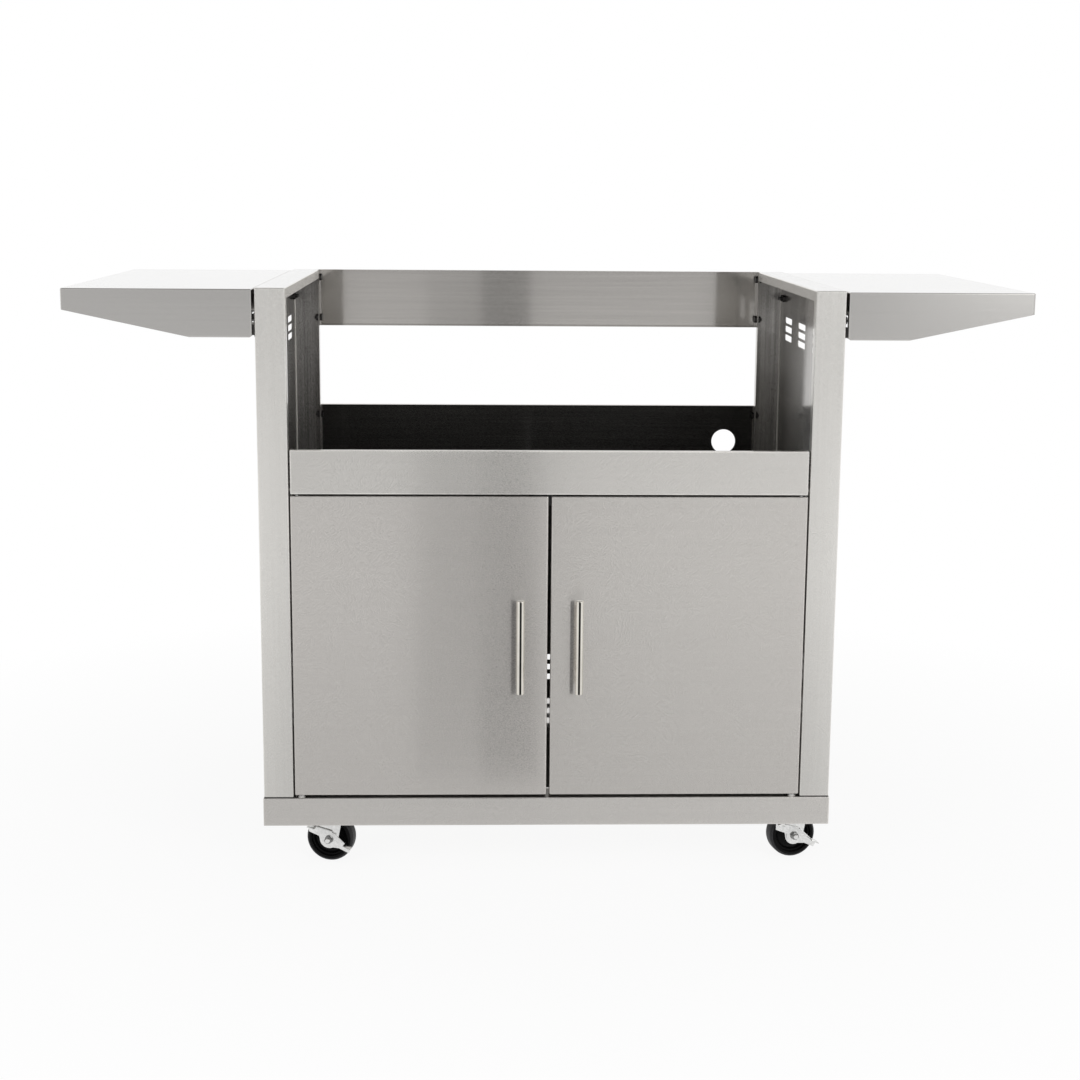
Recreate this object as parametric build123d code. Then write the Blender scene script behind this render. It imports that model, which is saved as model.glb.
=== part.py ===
from build123d import *
import os

# Stainless-steel grill cart with a drop-in grill bay, two doors, folding side shelves and casters.
# Millimetres. +X is to the right of a person facing the doors, +Y to the rear, +Z up.
# The origin is on the floor, under the middle of the cart's overall box.

# Body
cart_height = 914.0
body_width = 888.0
body_depth = 616.0
sheet = 1.2
bend_radius = 2.0
post_width = 46.0
front_lip = 18.0
rear_lip = 20.0
top_lip = 16.0
sill_height = 670.0

# Vents in the side panels and the back panel
vent_length = 71.0
vent_height = 10.5
vent_corner = 2.0
vent_column_pitch = 140.0
side_vent_columns = 4
side_vent_rows = 3
side_vent_row_pitch = 15.3
side_vent_drop = 98.0
side_vent_shift = 6.0
back_vent_columns = 5
back_vent_rows = 3
back_vent_row_pitch = 19.0
back_vent_rise = 52.0

# Base frame, the rails under it that carry the casters, and the cabinet floor
base_overhang = 1.5
base_sheet = 1.5
skirt_height = 45.0
base_side_flange = 140.0
base_end_flange = 60.0
rail_depth = 17.0
rail_web_width = 90.0
rail_foot_width = 14.0
rail_sheet = 2.0
rail_end_gap = 1.0
floor_rise = 9.0
floor_front_gap = 4.0
floor_side_gap = 2.0
floor_rear_gap = 0.3

# Rear top rail, back panel and front apron
rear_rail_height = 100.0
rear_rail_lip = 14.0
back_panel_lip = 12.0
hose_hole_radius = 22.0
hose_hole_x = 343.0
hose_hole_drop = 67.0
apron_height = 67.0
apron_side_gap = 3.0
apron_top_lip = 10.0
apron_shelf_depth = 45.0
apron_end_flange = 18.0

# Bolts and nuts of the frame
bolt_radius = 3.0
bolt_head_width = 10.0
bolt_head_height = 4.0
nut_height = 5.0
bolt_end = 2.0
thread_clearance = 0.05
hole_clearance = 0.25
rail_bolt_inset = 14.0
back_bolt_inset = 18.0
base_bolt_inset = 40.0
base_bolt_edge = 8.0
apron_bolt_inset = 18.0
apron_spacer_radius = 5.0

# Doors
door_top_gap = 2.8
door_bottom_gap = 3.9
door_side_gap = 2.2
door_centre_gap = 5.0
door_depth = 18.0
liner_gap = 0.15
liner_lip = 10.0
strike_width = 22.0
strike_height = 10.0
strike_sheet = 0.8
catch_gap = 0.3
catch_width = 64.0
catch_depth = 16.0
catch_height = 20.0
magnet_width = 20.0
magnet_height = 8.0
magnet_depth = 4.0
magnet_stand = 0.6
magnet_spacing = 32.0

# Door pivots: headed pins in the doors, bushes in the apron and the base
pivot_inset = 10.0
pivot_setback = 6.0
pivot_pin_radius = 3.0
pivot_head_radius = 4.5
pivot_head_height = 3.0
pivot_tail = 3.0
pivot_washer_gap = 0.3
pivot_relief = 0.3
bush_radius = 4.6
bush_flange_radius = 5.8
bush_flange_height = 1.2
bush_tail = 3.0
running_clearance = 0.05

# Door handles
handle_length = 147.0
handle_mid_height = 372.0
handle_from_middle = 45.0
handle_bar_radius = 6.0
handle_stand = 38.0
handle_post_spacing = 112.0
handle_post_radius = 4.5
handle_screw_radius = 2.0
handle_screw_head_radius = 4.0
handle_screw_head_height = 2.2
handle_screw_depth = 14.0
handle_end_round = 1.0

# Side shelves and their hinges
shelf_length = 282.5
shelf_gap = 4.5
shelf_drop = 2.0
shelf_root_height = 72.0
shelf_tip_height = 32.0
shelf_root_length = 93.0
shelf_corner = 4.0
shelf_return = 12.0
shelf_end_lip = 36.0
hinge_out = 16.0
hinge_up = 10.0
hinge_rod_radius = 4.0
hinge_rod_end = 5.0
hanger_sheet = 2.5
hanger_setback = 6.0
hanger_width = 24.0
hanger_foot = 9.0
bracket_sheet = 2.5
bracket_setback = 18.0
bracket_length = 36.0
bracket_height = 38.0
bracket_below_hinge = 11.0
ear_sheet = 3.0
ear_round = 8.0
bracket_bolt_spacing = 18.0
bracket_bolt_up = 18.0
bracket_bolt_end = 14.0

# Casters
wheel_radius = 38.0
tread_width = 25.0
tread_depth = 8.0
tread_round = 3.0
rim_depth = 4.0
wheel_web = 8.0
hub_radius = 11.0
hub_side_gap = 0.3
caster_height = 102.5
caster_trail = 27.0
caster_inset_x = 73.5
caster_inset_y = 65.0
plate_length = 92.0
plate_width = 60.0
plate_sheet = 2.5
plate_corner = 5.0
plate_hole_length = 75.0
plate_hole_width = 45.0
caster_bolt_radius = 3.9
caster_bolt_head_width = 13.0
race_radius = 22.0
upper_race_height = 8.0
swivel_gap = 0.3
kingpin_radius = 5.0
kingpin_head_radius = 8.5
kingpin_head_height = 3.0
crown_clearance = 7.0
crown_sheet = 3.0
crown_radius = 24.0
crown_length = 52.0
fork_sheet = 2.5
fork_side_gap = 3.0
fork_foot_radius = 15.0
axle_radius = 4.0
axle_head_width = 13.0
axle_head_height = 5.0
axle_nut_height = 6.5

# Brake levers on the front casters: a stamped S lever that turns about the axle
lever_sheet = 2.0
lever_gap = 0.3
lever_hub_radius = 13.5
pad_reach = 12.0
lever_upper_arm = [(-32.0, 24.0), (6.0, 14.0), (0.0, -8.0), (-12.0, 4.0), (-32.0, 12.0)]
lever_lower_arm = [(10.0, 11.0), (28.0, -6.0), (38.0, -11.0), (33.0, -21.0), (17.0, -13.5),
                   (-3.0, -12.0)]
pad_length = 13.0

# How far each front caster is swivelled as it stands, in degrees about +Z
front_left_swivel = -11.0
front_right_swivel = 12.0
rear_swivel = 0.0

# How far a cutter runs past the sheet that it cuts
past = 5.0

# Planes and edges that follow from the sizes above
handle_reach = handle_stand + handle_bar_radius
front_y = (handle_reach - body_depth - base_overhang) / 2
rear_y = front_y + body_depth
side_x = body_width / 2
post_x = side_x - post_width
base_top = caster_height + rail_depth + base_sheet
floor_top = base_top + floor_rise
apron_bottom = sill_height - apron_height
door_top = apron_bottom - door_top_gap
door_bottom = base_top + door_bottom_gap
door_outer_x = post_x - door_side_gap
door_inner_x = door_centre_gap / 2
door_back_y = front_y + door_depth
pivot_x = door_outer_x - pivot_inset
pivot_y = front_y + pivot_setback
handle_y = front_y - handle_stand
shelf_top = cart_height - shelf_drop
shelf_bottom = shelf_top - shelf_root_height
shelf_inner_x = side_x + shelf_gap
shelf_outer_x = shelf_inner_x + shelf_length
hinge_x = side_x + hinge_out
hinge_z = shelf_bottom + hinge_up
caster_x = side_x - caster_inset_x
leg_inner = tread_width / 2 + fork_side_gap
leg_outer = leg_inner + fork_sheet
crown_bottom = 2 * wheel_radius + crown_clearance
plate_bottom = caster_height - plate_sheet
lever_inner = leg_outer + lever_gap
lever_outer = lever_inner + lever_sheet


def block(x0, x1, y0, y1, z0, z1):
    middle = Pos((x0 + x1) / 2, (y0 + y1) / 2, (z0 + z1) / 2)
    return middle * Box(abs(x1 - x0), y1 - y0, z1 - z0)


def rod_x(radius, x0, x1, y, z):
    return Pos((x0 + x1) / 2, y, z) * Rot(0, 90, 0) * Cylinder(radius, x1 - x0)


def rod_y(radius, x, y0, y1, z):
    return Pos(x, (y0 + y1) / 2, z) * Rot(90, 0, 0) * Cylinder(radius, y1 - y0)


def rod_z(radius, x, y, z0, z1):
    return Pos(x, y, (z0 + z1) / 2) * Cylinder(radius, z1 - z0)


def plate_xz(face, y0, y1):
    return Pos(0, y0, 0) * extrude(face, y1 - y0, dir=(0, 1, 0))


def outline_xz(points):
    return make_face(Plane.XZ * Polyline(*points, close=True))


def mirrored(shape):
    return mirror(shape, about=Plane.YZ)


def hexagon(width, height):
    across_corners = width / 3 ** 0.5
    return extrude(RegularPolygon(across_corners, 6), height)


def centred(count, pitch):
    return [(i - (count - 1) / 2) * pitch for i in range(count)]


def bolt_and_nut(plane, grip, radius, head_width, end):
    # Head below the plane, shank along its normal through the grip, nut on the far side
    bolt = rod_z(radius, 0, 0, 0, grip + nut_height + end)
    bolt += Pos(0, 0, -bolt_head_height) * hexagon(head_width, bolt_head_height)
    nut = Pos(0, 0, grip) * hexagon(head_width, nut_height)
    nut -= rod_z(radius + thread_clearance, 0, 0, grip - past, grip + nut_height + past)
    return [plane * bolt, plane * nut]


# Where the frame's bolts go: heights on the rear corners, places on the base and heights on the apron
rear_bolt_y = rear_y - rear_lip / 2
rear_bolt_heights = [
    cart_height - rail_bolt_inset,
    cart_height - rear_rail_height + rail_bolt_inset,
    sill_height - back_bolt_inset,
    floor_top + back_bolt_inset,
]
base_bolt_x = side_x - sheet - base_bolt_edge
base_bolt_places = [front_y + base_bolt_inset, rear_y - base_bolt_inset]
apron_bolt_y = front_y + apron_end_flange / 2
apron_bolt_heights = [sill_height - apron_bolt_inset, apron_bottom + apron_bolt_inset]
bolt_hole = bolt_radius + hole_clearance
bracket_front = front_y + bracket_setback
bracket_mids = [bracket_front + bracket_length / 2, rear_y - bracket_setback - bracket_length / 2]
bracket_bolt_z = hinge_z + bracket_bolt_up
bracket_bolt_places = [mid + step for mid in bracket_mids for step in centred(2, bracket_bolt_spacing)]


def vent():
    # The cutter for one slot, through the sheet that it is centred on
    slot = Box(vent_length, 2 * past, vent_height)
    return fillet(slot.edges().filter_by(Axis.Y), vent_corner)


def side_panel(side):
    # A folded pan: outer skin, post face, rear flange and top ledge, each with a turned inner lip
    outer_x = side * side_x
    inner_x = side * post_x
    skin = side * sheet
    pan = block(inner_x, outer_x, front_y, rear_y, base_top, cart_height)
    pan = fillet(pan.edges().filter_by(Axis.Z) + pan.edges().group_by(Axis.Z)[-1], bend_radius)
    hollow = block(inner_x + skin, outer_x - skin, front_y + sheet, rear_y - sheet,
                   base_top + sheet, cart_height - sheet)
    pan -= hollow
    pan -= block(inner_x - side * past, inner_x + skin, front_y + front_lip, rear_y - rear_lip,
                 base_top + sheet, cart_height - top_lip)
    vent_middle_y = (front_y + rear_y) / 2 + side_vent_shift
    cut = Rot(0, 0, 90) * vent()
    for y in centred(side_vent_columns, vent_column_pitch):
        for z in centred(side_vent_rows, side_vent_row_pitch):
            pan -= Pos(outer_x, vent_middle_y + y, cart_height - side_vent_drop + z) * cut
    for z in rear_bolt_heights:
        pan -= rod_x(bolt_hole, inner_x - past, inner_x + past, rear_bolt_y, z)
    for z in apron_bolt_heights:
        pan -= rod_x(bolt_hole, inner_x - past, inner_x + past, apron_bolt_y, z)
    for y in base_bolt_places:
        pan -= rod_z(bolt_hole, side * base_bolt_x, y, base_top - past, base_top + past)
    for y in bracket_bolt_places:
        pan -= rod_x(bolt_hole, outer_x - past, outer_x + past, y, bracket_bolt_z)
    return pan


def base_frame():
    # A skirt all round with wide inward flanges at the top, open in the middle
    outer_x = side_x + base_overhang
    outer_front = front_y - base_overhang
    outer_rear = rear_y + base_overhang
    frame = block(-outer_x, outer_x, outer_front, outer_rear, base_top - skirt_height, base_top)
    frame = fillet(frame.edges().filter_by(Axis.Z) + frame.edges().group_by(Axis.Z)[-1], bend_radius)
    frame -= block(-outer_x + base_sheet, outer_x - base_sheet,
                   outer_front + base_sheet, outer_rear - base_sheet,
                   base_top - skirt_height - past, base_top - base_sheet)
    frame -= block(-outer_x + base_side_flange, outer_x - base_side_flange,
                   outer_front + base_end_flange, outer_rear - base_end_flange,
                   base_top - past, base_top + past)
    for side in (-1, 1):
        frame -= rod_z(bush_radius, side * pivot_x, pivot_y, base_top - past, base_top + past)
        for y in base_bolt_places:
            frame -= rod_z(bolt_hole, side * base_bolt_x, y, base_top - past, base_top + past)
    return frame


def caster_places():
    rows = [front_y + caster_inset_y, rear_y - caster_inset_y]
    return [(side * caster_x, y) for y in rows for side in (-1, 1)]


def plate_hole_places():
    return [(x, y) for x in centred(2, plate_hole_width) for y in centred(2, plate_hole_length)]


def caster_rail(x):
    # A hat-section rail: a web that the caster plates bolt to, two legs, two feet under the flange
    top = base_top - base_sheet
    bottom = caster_height
    half_web = rail_web_width / 2
    half_rail = half_web + rail_foot_width
    y0 = front_y + rail_end_gap
    y1 = rear_y - rail_end_gap
    rail = block(x - half_web, x + half_web, y0, y1, bottom, top)
    rail -= block(x - half_web + rail_sheet, x + half_web - rail_sheet, y0 - past, y1 + past,
                  bottom + rail_sheet, top + past)
    rail += block(x - half_rail, x - half_web, y0, y1, top - rail_sheet, top)
    rail += block(x + half_web, x + half_rail, y0, y1, top - rail_sheet, top)
    for place_x, place_y in caster_places():
        for hole_x, hole_y in plate_hole_places():
            rail -= rod_z(caster_bolt_radius + hole_clearance, place_x + hole_x, place_y + hole_y,
                          bottom - past, bottom + past)
        rail -= rod_z(kingpin_radius + hole_clearance, place_x, place_y, bottom - past, bottom + past)
    return rail


def floor_panel():
    # A shallow upside-down tray on the base flanges
    half = post_x - floor_side_gap
    y0 = door_back_y + floor_front_gap
    y1 = rear_y - sheet - floor_rear_gap
    tray = block(-half, half, y0, y1, base_top, floor_top)
    tray -= block(-half + sheet, half - sheet, y0 + sheet, y1 - sheet, base_top - past, floor_top - sheet)
    return tray


def back_panel():
    panel = block(-post_x, post_x, rear_y - rear_lip, rear_y, base_top, sill_height)
    panel -= block(-post_x + sheet, post_x - sheet, rear_y - rear_lip - past, rear_y - sheet,
                   base_top - past, sill_height - sheet)
    panel -= block(-post_x + sheet, post_x - sheet, rear_y - rear_lip - past, rear_y - back_panel_lip,
                   sill_height - 2 * sheet, sill_height + past)
    hose_hole_z = sill_height - hose_hole_drop
    panel -= rod_y(hose_hole_radius, hose_hole_x, rear_y - past, rear_y + past, hose_hole_z)
    for x in centred(back_vent_columns, vent_column_pitch):
        for z in centred(back_vent_rows, back_vent_row_pitch):
            panel -= Pos(x, rear_y, base_top + back_vent_rise + z) * vent()
    for z in rear_bolt_heights[2:]:
        panel -= rod_x(bolt_hole, -side_x, side_x, rear_bolt_y, z)
    return panel


def rear_top_rail():
    z0 = cart_height - rear_rail_height
    rail = block(-post_x, post_x, rear_y - rear_lip, rear_y, z0, cart_height)
    rail -= block(-post_x + sheet, post_x - sheet, rear_y - rear_lip - past, rear_y - sheet,
                  z0 + sheet, cart_height - sheet)
    rail -= block(-post_x + sheet, post_x - sheet, rear_y - rear_lip - past, rear_y - rear_rail_lip,
                  z0 - past, cart_height + past)
    for z in rear_bolt_heights[:2]:
        rail -= rod_x(bolt_hole, -side_x, side_x, rear_bolt_y, z)
    return rail


def front_apron():
    # A folded front with a narrow top lip, end flanges and a deep lower flange for the catch
    half = post_x - apron_side_gap
    apron = block(-half, half, front_y, front_y + apron_shelf_depth, apron_bottom, sill_height)
    apron -= block(-half + sheet, half - sheet, front_y + sheet, front_y + apron_shelf_depth + past,
                   apron_bottom + sheet, sill_height - sheet)
    apron -= block(-half - past, half + past,
                   front_y + apron_end_flange, front_y + apron_shelf_depth + past,
                   apron_bottom + sheet, sill_height + past)
    apron -= block(-half + sheet, half - sheet, front_y + apron_top_lip, front_y + apron_shelf_depth,
                   sill_height - 2 * sheet, sill_height + past)
    for side in (-1, 1):
        apron -= rod_z(bush_radius, side * pivot_x, pivot_y, apron_bottom - past, apron_bottom + past)
    for z in apron_bolt_heights:
        apron -= rod_x(bolt_hole, -side_x, side_x, apron_bolt_y, z)
    return apron


def frame_bolts():
    # Rear bolts run outwards through two sheets, base bolts run down through the side and the base
    solids = []
    for z in rear_bolt_heights:
        plane = Plane(origin=(post_x - sheet, rear_bolt_y, z), z_dir=(1, 0, 0))
        solids += bolt_and_nut(plane, 2 * sheet, bolt_radius, bolt_head_width, bolt_end)
    for y in base_bolt_places:
        plane = Plane(origin=(base_bolt_x, y, base_top + sheet), x_dir=(0, 1, 0), z_dir=(0, 0, -1))
        solids += bolt_and_nut(plane, sheet + base_sheet, bolt_radius, bolt_head_width, bolt_end)
    return solids + [mirrored(solid) for solid in solids]


def apron_bolts():
    # Shoulder bolts hold the apron off the posts
    solids = []
    grip = 2 * sheet + apron_side_gap
    for z in apron_bolt_heights:
        plane = Plane(origin=(post_x - apron_side_gap - sheet, apron_bolt_y, z), z_dir=(1, 0, 0))
        bolt, nut = bolt_and_nut(plane, grip, bolt_radius, bolt_head_width, bolt_end)
        bolt += rod_x(apron_spacer_radius, post_x - apron_side_gap, post_x, apron_bolt_y, z)
        solids += [bolt, nut]
    return solids + [mirrored(solid) for solid in solids]


def door_pivot_bushes():
    upper = rod_z(bush_radius, pivot_x, pivot_y, apron_bottom, apron_bottom + sheet + bush_tail)
    upper += rod_z(bush_flange_radius, pivot_x, pivot_y, apron_bottom - bush_flange_height, apron_bottom)
    lower = rod_z(bush_radius, pivot_x, pivot_y, base_top - base_sheet - bush_tail, base_top)
    lower += rod_z(bush_flange_radius, pivot_x, pivot_y, base_top, base_top + bush_flange_height)
    bore = rod_z(pivot_pin_radius + running_clearance, pivot_x, pivot_y, 0, cart_height)
    bushes = [upper - bore, lower - bore]
    return bushes + [mirrored(bush) for bush in bushes]


def magnet_faces():
    # The magnets' front faces, just behind the strikes of the closed doors
    return door_back_y + strike_sheet + catch_gap


def door_catch():
    y0 = magnet_faces() + magnet_stand
    catch = block(-catch_width / 2, catch_width / 2, y0, y0 + catch_depth,
                  apron_bottom - catch_height, apron_bottom)
    for magnet in catch_magnets():
        catch -= magnet
    return catch


def catch_magnets():
    y0 = magnet_faces()
    z = apron_bottom - catch_height / 2
    return [block(x - magnet_width / 2, x + magnet_width / 2, y0, y0 + magnet_depth,
                  z - magnet_height / 2, z + magnet_height / 2) for x in centred(2, magnet_spacing)]


def shelf_bracket(mid_y):
    # An angle on the side panel: a bolted plate, and an ear that carries the hinge rod
    y0 = mid_y - bracket_length / 2
    z0 = hinge_z - bracket_below_hinge
    bracket = block(side_x, side_x + bracket_sheet, y0, y0 + bracket_length, z0, z0 + bracket_height)
    ear_y = y0 if mid_y < (front_y + rear_y) / 2 else y0 + bracket_length - ear_sheet
    bracket += block(side_x, hinge_x, ear_y, ear_y + ear_sheet, hinge_z - ear_round, hinge_z + ear_round)
    bracket += rod_y(ear_round, hinge_x, ear_y, ear_y + ear_sheet, hinge_z)
    bracket -= rod_y(hinge_rod_radius + running_clearance, hinge_x, ear_y - past, ear_y + past, hinge_z)
    for y in centred(2, bracket_bolt_spacing):
        bracket -= rod_x(bolt_hole, side_x - past, side_x + past, mid_y + y, bracket_bolt_z)
    return bracket


def shelf_brackets():
    brackets = [shelf_bracket(mid_y) for mid_y in bracket_mids]
    return brackets + [mirrored(bracket) for bracket in brackets]


def shelf_bracket_bolts():
    solids = []
    for y in bracket_bolt_places:
        plane = Plane(origin=(side_x + bracket_sheet, y, bracket_bolt_z), x_dir=(0, 1, 0), z_dir=(-1, 0, 0))
        solids += bolt_and_nut(plane, bracket_sheet + sheet, bolt_radius, bolt_head_width, bracket_bolt_end)
    return solids + [mirrored(solid) for solid in solids]


def shelf_outline():
    # The shelf's end view, deep at the cart and shallow at the tip
    bend_x = shelf_inner_x + shelf_root_length
    tip_z = shelf_top - shelf_tip_height
    points = [(shelf_inner_x, shelf_top), (shelf_outer_x, shelf_top), (shelf_outer_x, tip_z),
              (bend_x, shelf_bottom), (shelf_inner_x, shelf_bottom)]
    face = outline_xz(points)
    return fillet(face.vertices().sort_by(Axis.Z)[:2].sort_by(Axis.X)[0], shelf_corner)


def shelf_pan():
    solid = plate_xz(shelf_outline(), front_y, rear_y)
    tip_corners = solid.edges().filter_by(Axis.Z).group_by(Axis.X)[-1]
    solid = fillet(tip_corners, shelf_corner)
    solid = fillet(solid.edges().group_by(Axis.Z)[-1], bend_radius)
    solid -= block(shelf_inner_x + sheet, shelf_outer_x - sheet, front_y + sheet, rear_y - sheet,
                   shelf_bottom - past, shelf_top - sheet)
    solid -= block(shelf_inner_x - past, shelf_inner_x + sheet + past,
                   front_y + shelf_return, rear_y - shelf_return,
                   shelf_bottom - past, shelf_top - shelf_end_lip)
    return solid


def shelf_hangers():
    # Plates hung from the shelf's top that hold the hinge rod near each end
    hangers = []
    x0 = hinge_x - hanger_foot
    for y0 in (front_y + hanger_setback, rear_y - hanger_setback - hanger_sheet):
        y1 = y0 + hanger_sheet
        hanger = block(x0, x0 + hanger_width, y0, y1, hinge_z, shelf_top - sheet)
        hanger += rod_y(hanger_foot, hinge_x, y0, y1, hinge_z)
        hanger -= rod_y(hinge_rod_radius, hinge_x, y0 - past, y1 + past, hinge_z)
        hangers.append(hanger)
    return hangers


def shelf_hinge_rod():
    return rod_y(hinge_rod_radius, hinge_x, front_y + hinge_rod_end, rear_y - hinge_rod_end, hinge_z)


def door_skin():
    # Right door: a folded pan, open at the back
    skin = block(door_inner_x, door_outer_x, front_y, door_back_y, door_bottom, door_top)
    skin = fillet(skin.edges().group_by(Axis.Y)[0] + skin.edges().filter_by(Axis.Y), bend_radius)
    skin -= block(door_inner_x + sheet, door_outer_x - sheet, front_y + sheet, door_back_y + past,
                  door_bottom + sheet, door_top - sheet)
    for z in (door_bottom, door_top):
        skin -= rod_z(pivot_pin_radius, pivot_x, pivot_y, z - past, z + past)
    screw_hole = handle_screw_radius + hole_clearance
    for z in handle_post_heights():
        skin -= rod_y(screw_hole, handle_from_middle, front_y - past, front_y + past, z)
    return skin


def door_liner():
    # The door's back: a shallow pan nested in the skin
    inset = sheet + liner_gap
    x0 = door_inner_x + inset
    x1 = door_outer_x - inset
    z0 = door_bottom + inset
    z1 = door_top - inset
    liner = block(x0, x1, door_back_y - liner_lip, door_back_y, z0, z1)
    liner -= block(x0 + sheet, x1 - sheet, door_back_y - liner_lip - past, door_back_y - sheet,
                   z0 + sheet, z1 - sheet)
    relief = pivot_head_radius + pivot_relief
    for z in (z0, z1):
        liner -= block(pivot_x - relief, pivot_x + relief, front_y, pivot_y + relief, z - past, z + past)
    return liner


def strike_plate():
    x = magnet_spacing / 2
    z = apron_bottom - catch_height / 2
    return block(x - strike_width / 2, x + strike_width / 2, door_back_y, door_back_y + strike_sheet,
                 z - strike_height / 2, z + strike_height / 2)


def pivot_pins():
    # Headed pins: heads inside the door, shanks in the bushes, and a washer under the door
    upper_end = apron_bottom + sheet + bush_tail + pivot_tail
    lower_end = base_top - base_sheet - bush_tail - pivot_tail
    upper_seat = door_top - sheet
    lower_seat = door_bottom + sheet
    washer_bottom = base_top + bush_flange_height + pivot_washer_gap
    upper = rod_z(pivot_pin_radius, pivot_x, pivot_y, upper_seat, upper_end)
    upper += rod_z(pivot_head_radius, pivot_x, pivot_y, upper_seat - pivot_head_height, upper_seat)
    lower = rod_z(pivot_pin_radius, pivot_x, pivot_y, lower_end, lower_seat)
    lower += rod_z(pivot_head_radius, pivot_x, pivot_y, lower_seat, lower_seat + pivot_head_height)
    lower += rod_z(bush_flange_radius, pivot_x, pivot_y, washer_bottom, door_bottom)
    return [upper, lower]


def handle_post_heights():
    return [handle_mid_height + step for step in centred(2, handle_post_spacing)]


def handle_bar():
    z0 = handle_mid_height - handle_length / 2
    z1 = handle_mid_height + handle_length / 2
    bar = rod_z(handle_bar_radius, handle_from_middle, handle_y, z0, z1)
    return fillet(bar.edges().filter_by(GeomType.CIRCLE), handle_end_round)


def handle_posts():
    posts = []
    bar = rod_z(handle_bar_radius, handle_from_middle, handle_y, 0, cart_height)
    for z in handle_post_heights():
        post = rod_y(handle_post_radius, handle_from_middle, handle_y, front_y, z) - bar
        post -= rod_y(handle_screw_radius + thread_clearance, handle_from_middle,
                      front_y - handle_screw_depth - thread_clearance, front_y + past, z)
        posts.append(post)
    return posts


def handle_screws():
    screws = []
    head_front = front_y + sheet
    for z in handle_post_heights():
        screw = rod_y(handle_screw_radius, handle_from_middle, front_y - handle_screw_depth, head_front, z)
        screw += rod_y(handle_screw_head_radius, handle_from_middle, head_front,
                       head_front + handle_screw_head_height, z)
        screws.append(screw)
    return screws


def caster_plate():
    # In the caster's own frame: kingpin axis on Z, floor at zero, wheel trailing along +X
    plate = block(-plate_width / 2, plate_width / 2, -plate_length / 2, plate_length / 2,
                  plate_bottom, caster_height)
    plate = fillet(plate.edges().filter_by(Axis.Z), plate_corner)
    plate += rod_z(race_radius, 0, 0, plate_bottom - upper_race_height, plate_bottom)
    plate -= rod_z(kingpin_radius, 0, 0, 0, cart_height)
    for x, y in plate_hole_places():
        plate -= rod_z(caster_bolt_radius + hole_clearance, x, y, 0, cart_height)
    return plate


def kingpin():
    head_top = crown_bottom - swivel_gap
    pin = rod_z(kingpin_radius, 0, 0, head_top, caster_height)
    return pin + rod_z(kingpin_head_radius, 0, 0, head_top - kingpin_head_height, head_top)


def caster_bolts():
    solids = []
    grip = plate_sheet + rail_sheet
    for x, y in plate_hole_places():
        plane = Plane(origin=(x, y, plate_bottom))
        solids += bolt_and_nut(plane, grip, caster_bolt_radius, caster_bolt_head_width, bolt_end)
    return solids


def fork():
    # A folded fork: a crown plate under the swivel race and a broad leg on each side of the wheel
    crown_top = crown_bottom + crown_sheet
    race_top = plate_bottom - upper_race_height - swivel_gap
    body = rod_z(crown_radius, 0, 0, crown_bottom, crown_top)
    body += block(0, crown_length, -leg_outer, leg_outer, crown_bottom, crown_top)
    body += rod_z(race_radius, 0, 0, crown_top, race_top)
    body -= rod_z(kingpin_radius + running_clearance, 0, 0, 0, cart_height)
    foot_front = caster_trail - fork_foot_radius
    foot_rear = caster_trail + fork_foot_radius
    leg_outline = [(0, crown_top), (crown_length, crown_top),
                   (foot_rear, wheel_radius), (foot_front, wheel_radius)]
    leg_face = outline_xz(leg_outline)
    for y0, y1 in ((-leg_outer, -leg_inner), (leg_inner, leg_outer)):
        body += plate_xz(leg_face, y0, y1)
        body += rod_y(fork_foot_radius, caster_trail, y0, y1, wheel_radius)
    body -= rod_y(axle_radius, caster_trail, -leg_outer - past, leg_outer + past, wheel_radius)
    return body


def axle(head_inner):
    # A bolt through the fork with its head at the given distance in front of the wheel, and a nut behind
    tail = leg_outer + axle_nut_height + bolt_end
    bolt = rod_y(axle_radius, caster_trail, -head_inner, tail, wheel_radius)
    head = Plane(origin=(caster_trail, -head_inner, wheel_radius), z_dir=(0, -1, 0))
    bolt += head * hexagon(axle_head_width, axle_head_height)
    nut_plane = Plane(origin=(caster_trail, leg_outer, wheel_radius), z_dir=(0, 1, 0))
    nut = nut_plane * hexagon(axle_head_width, axle_nut_height)
    nut -= rod_y(axle_radius + thread_clearance, caster_trail, 0, tail + past, wheel_radius)
    return [bolt, nut]


def ring_about_axle(inner, outer, width):
    ring = rod_y(outer, caster_trail, -width / 2, width / 2, wheel_radius)
    return ring - rod_y(inner, caster_trail, -width, width, wheel_radius)


def wheel_core():
    rim_outer = wheel_radius - tread_depth
    rim_inner = rim_outer - rim_depth
    bore = axle_radius + running_clearance
    core = ring_about_axle(bore, hub_radius, 2 * (leg_inner - hub_side_gap))
    core += ring_about_axle(hub_radius, rim_inner, wheel_web)
    core += ring_about_axle(rim_inner, rim_outer, tread_width - 2 * rim_depth)
    return core


def tread():
    ring = ring_about_axle(wheel_radius - tread_depth, wheel_radius, tread_width)
    outer_edges = ring.edges().filter_by(GeomType.CIRCLE).group_by(SortBy.RADIUS)[-1]
    return fillet(outer_edges, tread_round)


def lever_plate(points):
    outline = [(caster_trail + u, wheel_radius + w) for u, w in points]
    return plate_xz(outline_xz(outline), -lever_outer, -lever_inner)


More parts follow.
